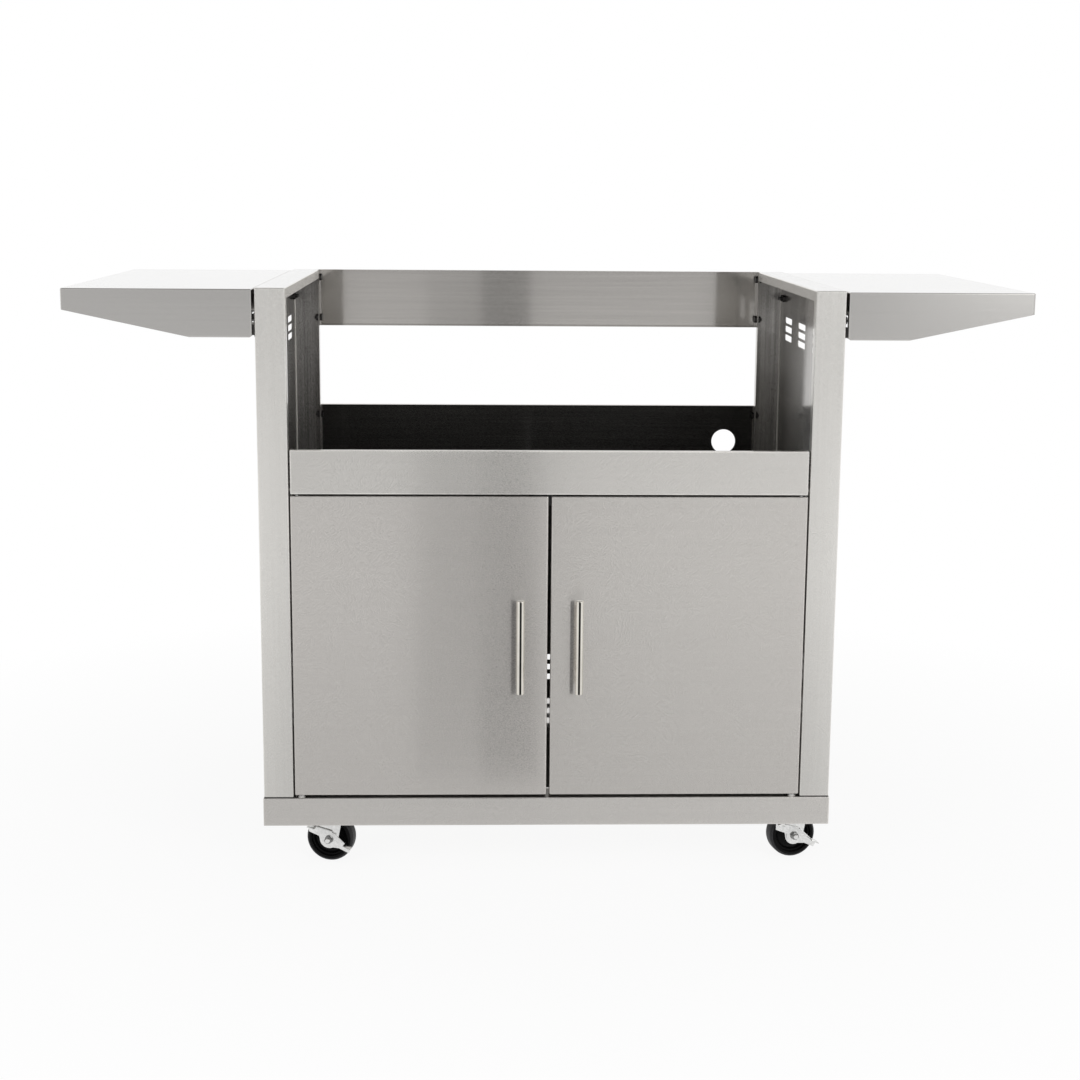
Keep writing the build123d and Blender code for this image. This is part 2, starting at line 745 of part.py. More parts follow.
def lever_pad(start, end):
    # A foot pad folded forwards from an arm's upper edge, at the arm's outer end
    edge = Vector(end[0] - start[0], 0, end[1] - start[1]).normalized()
    inner = Vector(caster_trail + start[0], 0, wheel_radius + start[1])
    plane = Plane(origin=inner + Vector(0, -lever_inner, 0), x_dir=edge, z_dir=Vector(0, -1, 0))
    pad = Box(pad_length, lever_sheet, lever_sheet + pad_reach, align=(Align.MIN, Align.MIN, Align.MIN))
    across = Vector(0, -1, 0).cross(edge)
    drop = -lever_sheet if across.Z > 0 else 0.0
    return plane * Pos(0, drop, 0) * pad


def brake_lever():
    lever = rod_y(lever_hub_radius, caster_trail, -lever_outer, -lever_inner, wheel_radius)
    lever += lever_plate(lever_upper_arm)
    lever += lever_plate(lever_lower_arm)
    lever += lever_pad(lever_upper_arm[0], lever_upper_arm[1])
    lever += lever_pad(lever_lower_arm[2], lever_lower_arm[1])
    bore = axle_radius + running_clearance
    lever -= rod_y(bore, caster_trail, -lever_outer - past, -lever_inner + past, wheel_radius)
    return lever


def group(solids):
    flat = []
    for solid in solids:
        flat += solid.solids()
    return Compound(children=flat)


def cart_frame_nodes():
    return {
        "left_side_panel": side_panel(-1),
        "right_side_panel": side_panel(1),
        "base_frame": base_frame(),
        "caster_rails": group([caster_rail(-caster_x), caster_rail(caster_x)]),
        "floor_panel": floor_panel(),
        "back_panel": back_panel(),
        "rear_top_rail": rear_top_rail(),
        "front_apron": front_apron(),
        "frame_bolts": group(frame_bolts()),
        "apron_bolts": group(apron_bolts()),
        "door_pivot_bushes": group(door_pivot_bushes()),
        "door_catch": door_catch(),
        "catch_magnets": group(catch_magnets()),
        "shelf_brackets": group(shelf_brackets()),
        "shelf_bracket_bolts": group(shelf_bracket_bolts()),
    }


def door_nodes():
    right = {
        "door_skin": door_skin(),
        "door_liner": door_liner(),
        "strike_plate": strike_plate(),
        "pivot_pins": group(pivot_pins()),
        "handle_bar": handle_bar(),
        "handle_posts": group(handle_posts()),
        "handle_screws": group(handle_screws()),
    }
    return left_and_right(right)


def shelf_nodes():
    right = {
        "shelf_pan": shelf_pan(),
        "shelf_hangers": group(shelf_hangers()),
        "shelf_hinge_rod": shelf_hinge_rod(),
    }
    return left_and_right(right)


def left_and_right(right):
    nodes = {"right_" + name: shape for name, shape in right.items()}
    nodes.update({"left_" + name: mirrored(shape) for name, shape in right.items()})
    return nodes


def caster_nodes():
    names = ["front_left", "front_right", "rear_left", "rear_right"]
    swivels = [front_left_swivel, front_right_swivel, rear_swivel, rear_swivel]
    nodes = {}
    kingpins = []
    bolts = []
    for name, swivel, (x, y) in zip(names, swivels, caster_places()):
        seat = Pos(x, y, 0)
        turned = seat * Rot(0, 0, swivel)
        braked = name.startswith("front")
        head_inner = lever_outer + lever_gap if braked else leg_outer
        nodes[name + "_caster_plate"] = seat * caster_plate()
        nodes[name + "_fork"] = turned * fork()
        nodes[name + "_axle"] = group([turned * solid for solid in axle(head_inner)])
        nodes[name + "_wheel"] = turned * wheel_core()
        nodes[name + "_tread"] = turned * tread()
        if braked:
            nodes[name + "_brake_lever"] = turned * brake_lever()
        kingpins.append(seat * kingpin())
        bolts += [seat * solid for solid in caster_bolts()]
    nodes["caster_kingpins"] = group(kingpins)
    nodes["caster_bolts"] = group(bolts)
    return nodes


os.makedirs("parts", exist_ok=True)
for node, shape in {**cart_frame_nodes(), **door_nodes(), **shelf_nodes(), **caster_nodes()}.items():
    export_step(shape, "parts/" + node + ".step")
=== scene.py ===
import bpy
import bmesh
import math
from mathutils import Matrix, Vector


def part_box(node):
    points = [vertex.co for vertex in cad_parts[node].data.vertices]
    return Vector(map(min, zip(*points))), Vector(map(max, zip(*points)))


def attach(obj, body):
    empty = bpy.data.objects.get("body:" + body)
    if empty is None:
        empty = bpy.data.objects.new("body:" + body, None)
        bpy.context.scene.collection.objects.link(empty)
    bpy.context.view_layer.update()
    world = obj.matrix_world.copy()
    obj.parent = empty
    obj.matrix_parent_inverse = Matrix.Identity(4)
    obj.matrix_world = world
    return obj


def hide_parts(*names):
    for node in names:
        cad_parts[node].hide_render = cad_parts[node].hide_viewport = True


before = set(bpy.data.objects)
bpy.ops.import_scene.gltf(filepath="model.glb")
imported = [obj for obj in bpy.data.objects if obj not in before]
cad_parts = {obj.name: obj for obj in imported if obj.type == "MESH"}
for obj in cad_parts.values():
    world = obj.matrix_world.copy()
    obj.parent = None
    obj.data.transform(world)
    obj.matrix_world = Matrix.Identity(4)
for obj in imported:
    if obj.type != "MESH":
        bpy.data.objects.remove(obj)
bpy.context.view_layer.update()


# Side panels
# Each side is one pan folded from brushed stainless sheet: it makes the front post, the top ledge
# and the rear flange. The grain runs up the posts, and a highlight is painted along the folds.

def add_node(tree, kind, inputs=None, **settings):
    node = tree.nodes.new(kind)
    for key, value in settings.items():
        setattr(node, key, value)
    for key, value in (inputs or {}).items():
        if isinstance(value, bpy.types.NodeSocket):
            tree.links.new(value, node.inputs[key])
        else:
            node.inputs[key].default_value = value
    return node


def calc(tree, operation, a, b=0.0):
    return add_node(tree, "ShaderNodeMath", {0: a, 1: b}, operation=operation).outputs[0]


def spread(tree, value, low, high, out_low, out_high):
    ranges = {"Value": value, "From Min": low, "From Max": high, "To Min": out_low, "To Max": out_high}
    return add_node(tree, "ShaderNodeMapRange", ranges).outputs[0]


def blend(tree, factor, low, high):
    return add_node(tree, "ShaderNodeMix", {0: factor, 2: low, 3: high}).outputs[0]


def blend_vectors(tree, factor, low, high):
    return add_node(tree, "ShaderNodeMix", {0: factor, 4: low, 5: high}, data_type="VECTOR").outputs[1]


def noise(tree, spot, scale, detail):
    pattern = {"Vector": spot, "Scale": scale, "Detail": detail}
    return add_node(tree, "ShaderNodeTexNoise", pattern).outputs[0]


def two_tones(tree, factor, dark, light):
    colours = {0: factor, 6: dark, 7: light}
    return add_node(tree, "ShaderNodeMix", colours, data_type="RGBA").outputs[2]


def new_finish(name):
    finish = bpy.data.materials.new(name)
    finish.use_nodes = True
    return finish, finish.node_tree, finish.node_tree.nodes["Principled BSDF"]


def shade(colour, amount):
    return tuple(channel * amount for channel in colour) + (1.0,)


X, Y, Z = 0, 1, 2


def painted_edge_band(tree, place, low, high, width):
    # The band where two faces of the sheet's box meet, which takes the painted edge highlight:
    # the second smallest distance to the box's faces
    distances = []
    parts = add_node(tree, "ShaderNodeSeparateXYZ", {0: place}).outputs
    for axis in (X, Y, Z):
        middle = (low[axis] + high[axis]) / 2
        off_middle = parts[axis]
        if axis == X:
            off_middle = calc(tree, "ABSOLUTE", off_middle)
        off_middle = calc(tree, "ABSOLUTE", calc(tree, "SUBTRACT", off_middle, middle))
        distances.append(calc(tree, "SUBTRACT", (high[axis] - low[axis]) / 2, off_middle))
    a, b, c = distances
    nearest = calc(tree, "MINIMUM", a, b)
    second = calc(tree, "MAXIMUM", nearest, calc(tree, "MINIMUM", calc(tree, "MAXIMUM", a, b), c))
    return spread(tree, second, 0.0, width, 1.0, 0.0)


def box_of(node):
    # A node's box, moved to the right side of the cart where the node is on the left
    low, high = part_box(node)
    if high.x <= 0.0:
        low.x, high.x = -high.x, -low.x
    elif low.x < 0.0:
        low.x = -high.x
    return low, high


sheet_thickness = 0.0012


def brushed_steel(name, node, grain, turned, tone, sharp, dull, lands=0.4, streaky=0.02, edge=1.3,
                  inner_shade_tone=None, inner_rim_dimming=0.3, inner_axis=X, inner_gloss=None, flange_shade_tone=None,
                  painted_top_tone=None, outer_painted_sheen=0.0, seam_shade=0.0, fold_highlight=0.0):
    # Lines along the grain axis; faces that look along that axis are brushed along the turned one.
    # The lands between the scratches keep a sharp reflection, the scratches themselves a dull one.
    finish, tree, steel = new_finish(name)
    spot = add_node(tree, "ShaderNodeTexCoord").outputs
    place = add_node(tree, "ShaderNodeSeparateXYZ", {0: spot["Object"]}).outputs
    facing = add_node(tree, "ShaderNodeSeparateXYZ", {0: spot["Normal"]}).outputs
    end_on = calc(tree, "GREATER_THAN", calc(tree, "ABSOLUTE", facing[grain]), 0.7)
    order = [X, Y, Z]
    order[grain], order[turned] = turned, grain
    swapped = add_node(tree, "ShaderNodeCombineXYZ", {axis: place[order[axis]] for axis in (X, Y, Z)})
    along = blend_vectors(tree, end_on, spot["Object"], swapped.outputs[0])

    def lines(per_metre_along, per_metre_across, detail):
        scale = [per_metre_across] * 3
        scale[grain] = per_metre_along
        stretched = add_node(tree, "ShaderNodeMapping", {"Vector": along, "Scale": scale}).outputs[0]
        pattern = {"Vector": stretched, "Scale": 1.0, "Detail": detail, "Roughness": 0.6}
        return add_node(tree, "ShaderNodeTexNoise", pattern).outputs[0]

    def level_above(share):
        # The level of the scratch pattern that this share of the surface stays under
        return 0.38 + 0.24 * share

    scratches = lines(per_metre_along=450.0, per_metre_across=9000.0, detail=1.0)
    streaks = lines(per_metre_along=3.0, per_metre_across=240.0, detail=3.0)
    clouds = noise(tree, spot["Object"], 6.5, 3.0)
    low, high = box_of(node)
    painted_edge_width = 0.0026
    edges = painted_edge_band(tree, spot["Object"], low, high, painted_edge_width)
    coarse = calc(tree, "MULTIPLY", streaks, 0.7)
    fine = calc(tree, "MULTIPLY", scratches, 0.3)
    uneven = spread(tree, calc(tree, "ADD", coarse, fine), 0.3, 0.7, 0.0, 1.0)

    # Tone: faint streaks, then the faces and edges that differ
    sheet = two_tones(tree, uneven, shade(tone, 1.0 - streaky), shade(tone, 1.0 + streaky))
    if outer_painted_sheen:
        # Painted sheen: lighter towards the cart's outer side, below the shelves
        shelf_z, clear_z = 0.85, 0.65
        outward = spread(tree, calc(tree, "ABSOLUTE", place[X]), low.x, high.x, -outer_painted_sheen, outer_painted_sheen)
        outward = calc(tree, "MULTIPLY", outward, spread(tree, place[Z], shelf_z, clear_z, 0.0, 1.0))
        sheen_gain = calc(tree, "ADD", outward, 1.0)
        sheet = add_node(tree, "ShaderNodeVectorMath", {0: sheet, "Scale": sheen_gain}, operation="SCALE")
        sheet = sheet.outputs[0]
    if inner_shade_tone:
        # Painted shade on the faces inside the bay, with their grazing reflection dimmed as well
        faces_in = calc(tree, "LESS_THAN", facing[Y], -0.5)
        if inner_axis == X:
            faces_in = calc(tree, "LESS_THAN", calc(tree, "MULTIPLY", place[X], facing[X]), -0.1)
            lip_room = 0.01
            behind_lips = calc(tree, "GREATER_THAN", calc(tree, "ABSOLUTE", place[X]), low.x + lip_room)
            faces_in = calc(tree, "MULTIPLY", faces_in, behind_lips)
        inside = two_tones(tree, uneven, shade(inner_shade_tone, 0.78), shade(inner_shade_tone, 1.22))
        sheet = two_tones(tree, faces_in, sheet, inside)
        rim = two_tones(tree, faces_in, (1.0, 1.0, 1.0, 1.0), (inner_rim_dimming, inner_rim_dimming, inner_rim_dimming, 1.0))
        tree.links.new(rim, steel.inputs["Specular Tint"])
    if flange_shade_tone:
        # Painted shade on the front faces of the rear flanges
        rear_part = 0.2
        at_rear = calc(tree, "GREATER_THAN", place[Y], rear_part)
        on_flange = calc(tree, "MULTIPLY", calc(tree, "LESS_THAN", facing[Y], -0.5), at_rear)
        flange = two_tones(tree, uneven, shade(flange_shade_tone, 0.6), shade(flange_shade_tone, 1.4))
        sheet = two_tones(tree, on_flange, sheet, flange)
    if painted_top_tone:
        # Top faces take a tone of their own: painted light on the shelf tops, painted shade in the gaps on
        # the base and door tops
        faces_up = calc(tree, "GREATER_THAN", facing[Z], 0.9)
        sheet = two_tones(tree, faces_up, sheet, shade(painted_top_tone, 1.0))
    # Painted highlight along the edges and folds; a gain below one paints shade there instead
    bright = calc(tree, "MULTIPLY", edges, spread(tree, clouds, 0.35, 0.65, 0.3, 1.0))
    colour = two_tones(tree, bright, sheet, shade(tone, edge))
    if fold_highlight:
        # Painted highlight along the inside of the rear fold, where the outer skin turns into the flange
        from_skin = calc(tree, "SUBTRACT", high.x - sheet_thickness, calc(tree, "ABSOLUTE", place[X]))
        from_flange = calc(tree, "SUBTRACT", high.y - sheet_thickness, place[Y])
        from_fold = calc(tree, "ADD", from_skin, from_flange)
        in_fold_highlight = spread(tree, from_fold, fold_highlight * 0.7, fold_highlight, 1.0, 0.0)
        colour = two_tones(tree, in_fold_highlight, colour, shade(tone, 1.1))
    if seam_shade:
        # Painted shade: a dark line along the bottom of the sheet, where the post sits on the base
        in_seam_shade = spread(tree, place[Z], low.z + seam_shade * 0.6, low.z + seam_shade, 1.0, 0.0)
        colour = two_tones(tree, in_seam_shade, colour, shade(tone, 0.06))
    tree.links.new(colour, steel.inputs["Base Color"])

    # Gloss: sharp on the lands, dull in the scratches, and smoother along the painted edge highlight
    land_level = level_above(lands)
    rough = spread(tree, scratches, land_level - 0.03, land_level + 0.03, sharp, dull)
    rough = calc(tree, "ADD", rough, spread(tree, clouds, 0.3, 0.7, -0.008, 0.008))
    rough = calc(tree, "SUBTRACT", rough, calc(tree, "MULTIPLY", bright, 0.04))
    if inner_gloss:
        # The mill finish inside: glossy, with a haze where it is scratched
        haze_level = level_above(0.6875)
        haze = spread(tree, scratches, haze_level - 0.015, haze_level + 0.015, 0.0, 0.35)
        mill = calc(tree, "ADD", spread(tree, clouds, 0.3, 0.7, *inner_gloss), haze)
        rough = blend(tree, faces_in, rough, mill)
    if fold_highlight:
        rough = blend(tree, in_fold_highlight, rough, 0.7)
    if painted_top_tone:
        rough = calc(tree, "MULTIPLY", rough, spread(tree, faces_up, 0.0, 1.0, 1.0, 0.5))
    tree.links.new(rough, steel.inputs["Roughness"])
    bump = add_node(tree, "ShaderNodeBump", {"Strength": 0.02, "Distance": 0.0001, "Height": streaks})
    tree.links.new(bump.outputs[0], steel.inputs["Normal"])

    # Reflections are drawn out across the lines
    axes = [(1.0, 0.0, 0.0), (0.0, 1.0, 0.0), (0.0, 0.0, 1.0)]
    line_axis = blend_vectors(tree, end_on, axes[grain], axes[turned])
    if inner_gloss:
        line_axis = blend_vectors(tree, faces_in, line_axis, axes[turned])
    across = add_node(tree, "ShaderNodeVectorMath", {0: spot["Normal"], 1: line_axis},
                      operation="CROSS_PRODUCT").outputs[0]
    tangent = add_node(tree, "ShaderNodeVectorTransform", {0: across}, vector_type="VECTOR",
                       convert_from="OBJECT", convert_to="WORLD").outputs[0]
    tree.links.new(tangent, steel.inputs["Tangent"])
    steel.inputs["Metallic"].default_value = 1.0
    steel.inputs["Anisotropic"].default_value = 0.7
    return finish


def dress(finish, *nodes):
    for node in nodes:
        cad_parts[node].material_slots[0].material = finish


post_tone = (0.735, 0.72, 0.69)
# The tone painted onto the lit tops of the ledges and shelves
lit_top_tone = (0.72, 0.715, 0.705)
# Painted shade inside the bay, lighter on the right side than on the left
inner_shade_tones = {"left": (0.5, 0.485, 0.467), "right": (0.6, 0.582, 0.56)}
# Painted shade on the rear flanges, lighter on the right side than on the left
flange_shade_tones = {"left": (0.28, 0.272, 0.262), "right": (0.4, 0.388, 0.374)}
for side, inner_shade_tone in inner_shade_tones.items():
    post_steel = brushed_steel(side + "_post_steel", side + "_side_panel", Z, Y, post_tone, 0.14, 0.45,
                               inner_shade_tone=inner_shade_tone, inner_rim_dimming=0.8, inner_gloss=(0.1, 0.16),
                               flange_shade_tone=flange_shade_tones[side], painted_top_tone=lit_top_tone, streaky=0.03,
                               outer_painted_sheen=0.05, seam_shade=0.0018, fold_highlight=0.0018)
    dress(post_steel, side + "_side_panel")


# Base frame and caster rails
# The base is a skirt folded from the same sheet, its corners welded and dressed flush. The rails
# are hat sections under its flanges that carry the caster plates.

base_tone = (0.655, 0.634, 0.608)
# Painted shade: the skirt's top faces, in the gap under the doors, take a dark tone
gap_shade_tone = (0.25, 0.243, 0.234)
skirt_steel = brushed_steel("skirt_steel", "base_frame", X, Y, base_tone, 0.13, 0.45, painted_top_tone=gap_shade_tone)
dress(skirt_steel, "base_frame")
rail_steel = brushed_steel("rail_steel", "caster_rails", Y, Z, base_tone, 0.25, 0.5)
dress(rail_steel, "caster_rails")


# Cabinet floor and back panel
# The floor is a shallow tray on the base flanges. The back is a folded panel with punched vents and
# a round hole for the gas hose, bolted between the rear flanges.

floor_tone = (0.6, 0.585, 0.565)
floor_steel = brushed_steel("floor_steel", "floor_panel", X, Y, floor_tone, 0.03, 0.08, 0.8)
dress(floor_steel, "floor_panel")
shaded_tone = (0.075, 0.073, 0.07)
back_steel = brushed_steel("back_steel", "back_panel", X, Z, base_tone, 0.1, 0.3, inner_axis=Y,
                           inner_shade_tone=shaded_tone, inner_rim_dimming=0.15)
dress(back_steel, "back_panel")


# Rear top rail
# A shallow channel of brushed sheet that ties the two sides at the rear of the grill bay, bolted
# through its end flanges.

rail_tone = (0.55, 0.53, 0.505)
# The rail's gain below one paints shade along its folds
top_rail_steel = brushed_steel("top_rail_steel", "rear_top_rail", X, Z, rail_tone, 0.07, 0.22, 0.65,
                               streaky=0.06, edge=0.6)
dress(top_rail_steel, "rear_top_rail")


# Front apron
# A folded strip across the front of the bay. Shoulder bolts hold it just off the posts, and its
# lower flange takes the upper door pivots and the catch.

apron_tone = (0.67, 0.652, 0.624)
apron_steel = brushed_steel("apron_steel", "front_apron", X, Z, apron_tone, 0.13, 0.45, edge=1.5)
dress(apron_steel, "front_apron")


# Doors
# Each door is a folded skin with a shallow liner pressed in behind it, spot-welded along the lips.
# The grain runs across the doors.

# The two doors' tones differ a little: painted light and shade between two sheets of the same steel
door_tones = {"left": (0.635, 0.611, 0.584), "right": (0.612, 0.59, 0.563)}
# Painted shade: the doors' top faces, in the gap under the apron, take a dark tone
door_top_shade_tone = (0.3, 0.291, 0.28)
liner_tone = (0.28, 0.272, 0.262)
for side, door_tone in door_tones.items():
    skin_steel = brushed_steel(side + "_door_steel", side + "_door_skin", X, Z, door_tone, 0.13, 0.45,
                               painted_top_tone=door_top_shade_tone)
    dress(skin_steel, side + "_door_skin")
    liner_steel = brushed_steel(side + "_liner_steel", side + "_door_liner", X, Z, liner_tone, 0.2, 0.45)
    dress(liner_steel, side + "_door_liner")


# Frame bolts and nuts
# Plain hexagon bolts join the sheets: heads and nuts have turned corners, and the shanks are threaded
# to their ends. The apron's four have a shoulder that holds it off the posts.

def plain_steel(name, tone, roughness):
    # Steel with no grain: fine pits all over, and faint stains
    finish, tree, steel = new_finish(name)
    spot = add_node(tree, "ShaderNodeTexCoord").outputs["Object"]
    grains = noise(tree, spot, 900.0, 3.0)
    stains = noise(tree, spot, 60.0, 3.0)
    stained = spread(tree, stains, 0.35, 0.65, 0.0, 1.0)
    colour = two_tones(tree, stained, shade(tone, 0.82), shade(tone, 1.12))
    tree.links.new(colour, steel.inputs["Base Color"])
    rough = spread(tree, calc(tree, "ADD", grains, stains), 0.7, 1.3, roughness - 0.06, roughness + 0.1)
    tree.links.new(rough, steel.inputs["Roughness"])
    bump = add_node(tree, "ShaderNodeBump", {"Strength": 0.15, "Distance": 0.0001, "Height": grains})
    tree.links.new(bump.outputs[0], steel.inputs["Normal"])
    steel.inputs["Metallic"].default_value = 1.0
    return finish


# Painted shade: the bolts take a near-black tone for the dark places they sit in
shade_dark_bolt_steel = plain_steel("shade_dark_bolt_steel", (0.07, 0.068, 0.066), 0.3)


def bolt_tree():
    tree = bpy.data.node_groups.new("hexagon_bolt_and_nut", "GeometryNodeTree")
    face = tree.interface
    face.new_socket("Geometry", in_out="INPUT", socket_type="NodeSocketGeometry")
    for name in ("Radius", "Width", "Head", "Grip", "Nut", "End", "Pitch", "Shoulder Radius",
                 "Shoulder Start", "Shoulder Length"):
        face.new_socket(name, in_out="INPUT", socket_type="NodeSocketFloat")
    face.new_socket("Shouldered", in_out="INPUT", socket_type="NodeSocketBool")
    face.new_socket("Finish", in_out="INPUT", socket_type="NodeSocketMaterial")
    face.new_socket("Geometry", in_out="OUTPUT", socket_type="NodeSocketGeometry")
    size = add_node(tree, "NodeGroupInput").outputs

    def moved_up(mesh, height):
        lift = add_node(tree, "ShaderNodeCombineXYZ", {Z: height}).outputs[0]
        return add_node(tree, "GeometryNodeTransform", {"Geometry": mesh, "Translation": lift}).outputs[0]

    def turned_over(mesh, angles):
        return add_node(tree, "GeometryNodeTransform", {"Geometry": mesh, "Rotation": angles}).outputs[0]

    def upside_down(mesh):
        return turned_over(mesh, (math.pi, 0.0, 0.0))

    def turned_hexagon(height, both_ends):
        # A hexagon standing on z = 0 whose top corners, or top and bottom corners, are turned to a cone.
        # The cone runs past both ends, and its ridges stay clear of the hexagon's corners.
        corner = calc(tree, "MULTIPLY", size["Width"], 1.0 / math.sqrt(3.0))
        prism = add_node(tree, "GeometryNodeMeshCylinder",
                         {"Vertices": 6, "Radius": corner, "Depth": height}).outputs["Mesh"]
        end_share, past, slope, sides = 0.97, 0.2, 1.73, 48
        flat = calc(tree, "MULTIPLY", size["Width"], end_share / 2)
        small = calc(tree, "SUBTRACT", flat, calc(tree, "MULTIPLY", height, slope * past))
        wide = calc(tree, "ADD", flat, calc(tree, "MULTIPLY", height, slope * (1.0 + past)))
        cone_height = calc(tree, "MULTIPLY", height, 1.0 + 2.0 * past)
        cone_sizes = {"Vertices": sides, "Radius Top": small, "Radius Bottom": wide, "Depth": cone_height}
        cone = add_node(tree, "GeometryNodeMeshCone", cone_sizes).outputs["Mesh"]
        cone = turned_over(cone, (0.0, 0.0, math.pi / sides))
        cone = moved_up(cone, calc(tree, "MULTIPLY", cone_height, -0.5))
        cut = add_node(tree, "GeometryNodeMeshBoolean", operation="INTERSECT", solver="EXACT")
        tree.links.new(prism, cut.inputs["Mesh 2"])
        tree.links.new(cone, cut.inputs["Mesh 2"])
        if both_ends:
            tree.links.new(upside_down(cone), cut.inputs["Mesh 2"])
        return moved_up(cut.outputs["Mesh"], calc(tree, "MULTIPLY", height, 0.5))

    # The threaded shank, from the head's underside to past the nut
    length = calc(tree, "ADD", calc(tree, "ADD", size["Grip"], size["Nut"]), size["End"])
    steps_per_turn = 6.0
    turns = calc(tree, "DIVIDE", length, size["Pitch"])
    steps = calc(tree, "CEIL", calc(tree, "MULTIPLY", turns, steps_per_turn))
    shank = add_node(tree, "GeometryNodeMeshCylinder", {"Vertices": 24, "Side Segments": steps,
                     "Radius": size["Radius"], "Depth": length}).outputs["Mesh"]
    place = add_node(tree, "GeometryNodeInputPosition").outputs[0]
    part = add_node(tree, "ShaderNodeSeparateXYZ", {0: place}).outputs
    around = calc(tree, "ARCTAN2", part[Y], part[X])
    along = calc(tree, "MULTIPLY", calc(tree, "DIVIDE", part[Z], size["Pitch"]), 2.0 * math.pi)
    ridge = calc(tree, "COSINE", calc(tree, "SUBTRACT", along, around))
    half_depth_share = 0.2
    half_depth = calc(tree, "MULTIPLY", size["Pitch"], half_depth_share)
    depth = calc(tree, "MULTIPLY", calc(tree, "SUBTRACT", ridge, 1.0), half_depth)
    outward = add_node(tree, "ShaderNodeCombineXYZ", {X: part[X], Y: part[Y]}).outputs[0]
    outward = add_node(tree, "ShaderNodeVectorMath", {0: outward}, operation="NORMALIZE").outputs[0]
    groove = add_node(tree, "ShaderNodeVectorMath", {0: outward, "Scale": depth}, operation="SCALE")
    groove = groove.outputs[0]
    shank = add_node(tree, "GeometryNodeSetPosition", {"Geometry": shank, "Offset": groove}).outputs[0]
    shank = moved_up(shank, calc(tree, "MULTIPLY", length, 0.5))
    shank = add_node(tree, "GeometryNodeStoreNamedAttribute",
                     {"Geometry": shank, "Name": "shank", "Value": 1.0},
                     data_type="FLOAT", domain="POINT").outputs[0]

    # The bored nut, the shoulder if there is one, and the head that hangs below the seat
    nut = turned_hexagon(size["Nut"], True)
    bore = add_node(tree, "GeometryNodeMeshCylinder", {"Vertices": 32, "Radius": size["Radius"],
                    "Depth": calc(tree, "MULTIPLY", size["Nut"], 4.0)}).outputs["Mesh"]
    nut = add_node(tree, "GeometryNodeMeshBoolean", {"Mesh 1": nut, "Mesh 2": bore},
                   operation="DIFFERENCE", solver="EXACT")
    nut = moved_up(nut.outputs["Mesh"], size["Grip"])
    shoulder_sizes = {"Vertices": 32, "Radius": size["Shoulder Radius"], "Depth": size["Shoulder Length"]}
    shoulder = add_node(tree, "GeometryNodeMeshCylinder", shoulder_sizes).outputs["Mesh"]
    half_shoulder = calc(tree, "MULTIPLY", size["Shoulder Length"], 0.5)
    shoulder = moved_up(shoulder, calc(tree, "ADD", size["Shoulder Start"], half_shoulder))
    shoulder = add_node(tree, "GeometryNodeSwitch", {"Switch": size["Shouldered"], "True": shoulder},
                        input_type="GEOMETRY").outputs[0]
    bolt = add_node(tree, "GeometryNodeJoinGeometry")
    for piece in (upside_down(turned_hexagon(size["Head"], False)), shank, nut, shoulder):
        tree.links.new(piece, bolt.inputs[0])

    # One bolt at each seat, turned to its own way
    axis = add_node(tree, "GeometryNodeInputNamedAttribute", {"Name": "axis"}, data_type="FLOAT_VECTOR")
    aim = add_node(tree, "FunctionNodeAlignRotationToVector", {"Vector": axis.outputs[0]}, axis="Z")
    seats = {"Points": size["Geometry"], "Instance": bolt.outputs[0], "Rotation": aim.outputs[0]}
    set_out = add_node(tree, "GeometryNodeInstanceOnPoints", seats).outputs[0]
    solid = add_node(tree, "GeometryNodeRealizeInstances", {"Geometry": set_out}).outputs[0]
    dressed = add_node(tree, "GeometryNodeSetMaterial", {"Geometry": solid, "Material": size["Finish"]})
    add_node(tree, "NodeGroupOutput", {"Geometry": dressed.outputs[0]})
    return tree


hexagon_bolts = bolt_tree()


def smooth_by_angle(mesh, degrees):
    mesh.polygons.foreach_set("use_smooth", [True] * len(mesh.polygons))
    mesh.set_sharp_from_angle(angle=math.radians(degrees))


def new_piece(name, mesh, body, slot, *nodes):
    piece = bpy.data.objects.new(name, mesh)
    bpy.context.scene.collection.objects.link(piece)
    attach(piece, body)
    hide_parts(*nodes)


def set_of_bolts(name, node, places, finish, slot, body="cart_frame", **sizes):
    # places: seat of each head's underside, and the way its shank points
    seats = bpy.data.meshes.new(name + "_seats")
    seats.from_pydata([seat for seat, _ in places], [], [])
    aims = seats.attributes.new("axis", "FLOAT_VECTOR", "POINT")
    aims.data.foreach_set("vector", [number for _, aim in places for number in aim])
    maker = bpy.data.objects.new(name + "_maker", seats)
    bpy.context.scene.collection.objects.link(maker)
    step = maker.modifiers.new("bolts", "NODES")
    step.node_group = hexagon_bolts
    values = {"Finish": finish, "Shouldered": False, "Shoulder Radius": 0.005, "Shoulder Start": 0.0,
              "Shoulder Length": 0.003, **sizes}
    for socket in hexagon_bolts.interface.items_tree:
        if socket.name in values:
            step[socket.identifier] = values[socket.name]
    made = maker.evaluated_get(bpy.context.evaluated_depsgraph_get())
    mesh = bpy.data.meshes.new_from_object(made)
    maker.modifiers.remove(step)
    bpy.data.objects.remove(maker)
    smooth_by_angle(mesh, 35.0)
    new_piece(name, mesh, body, slot, node)


def both_sides(places):
    return places + [((-x, y, z), (-u, v, w)) for (x, y, z), (u, v, w) in places]


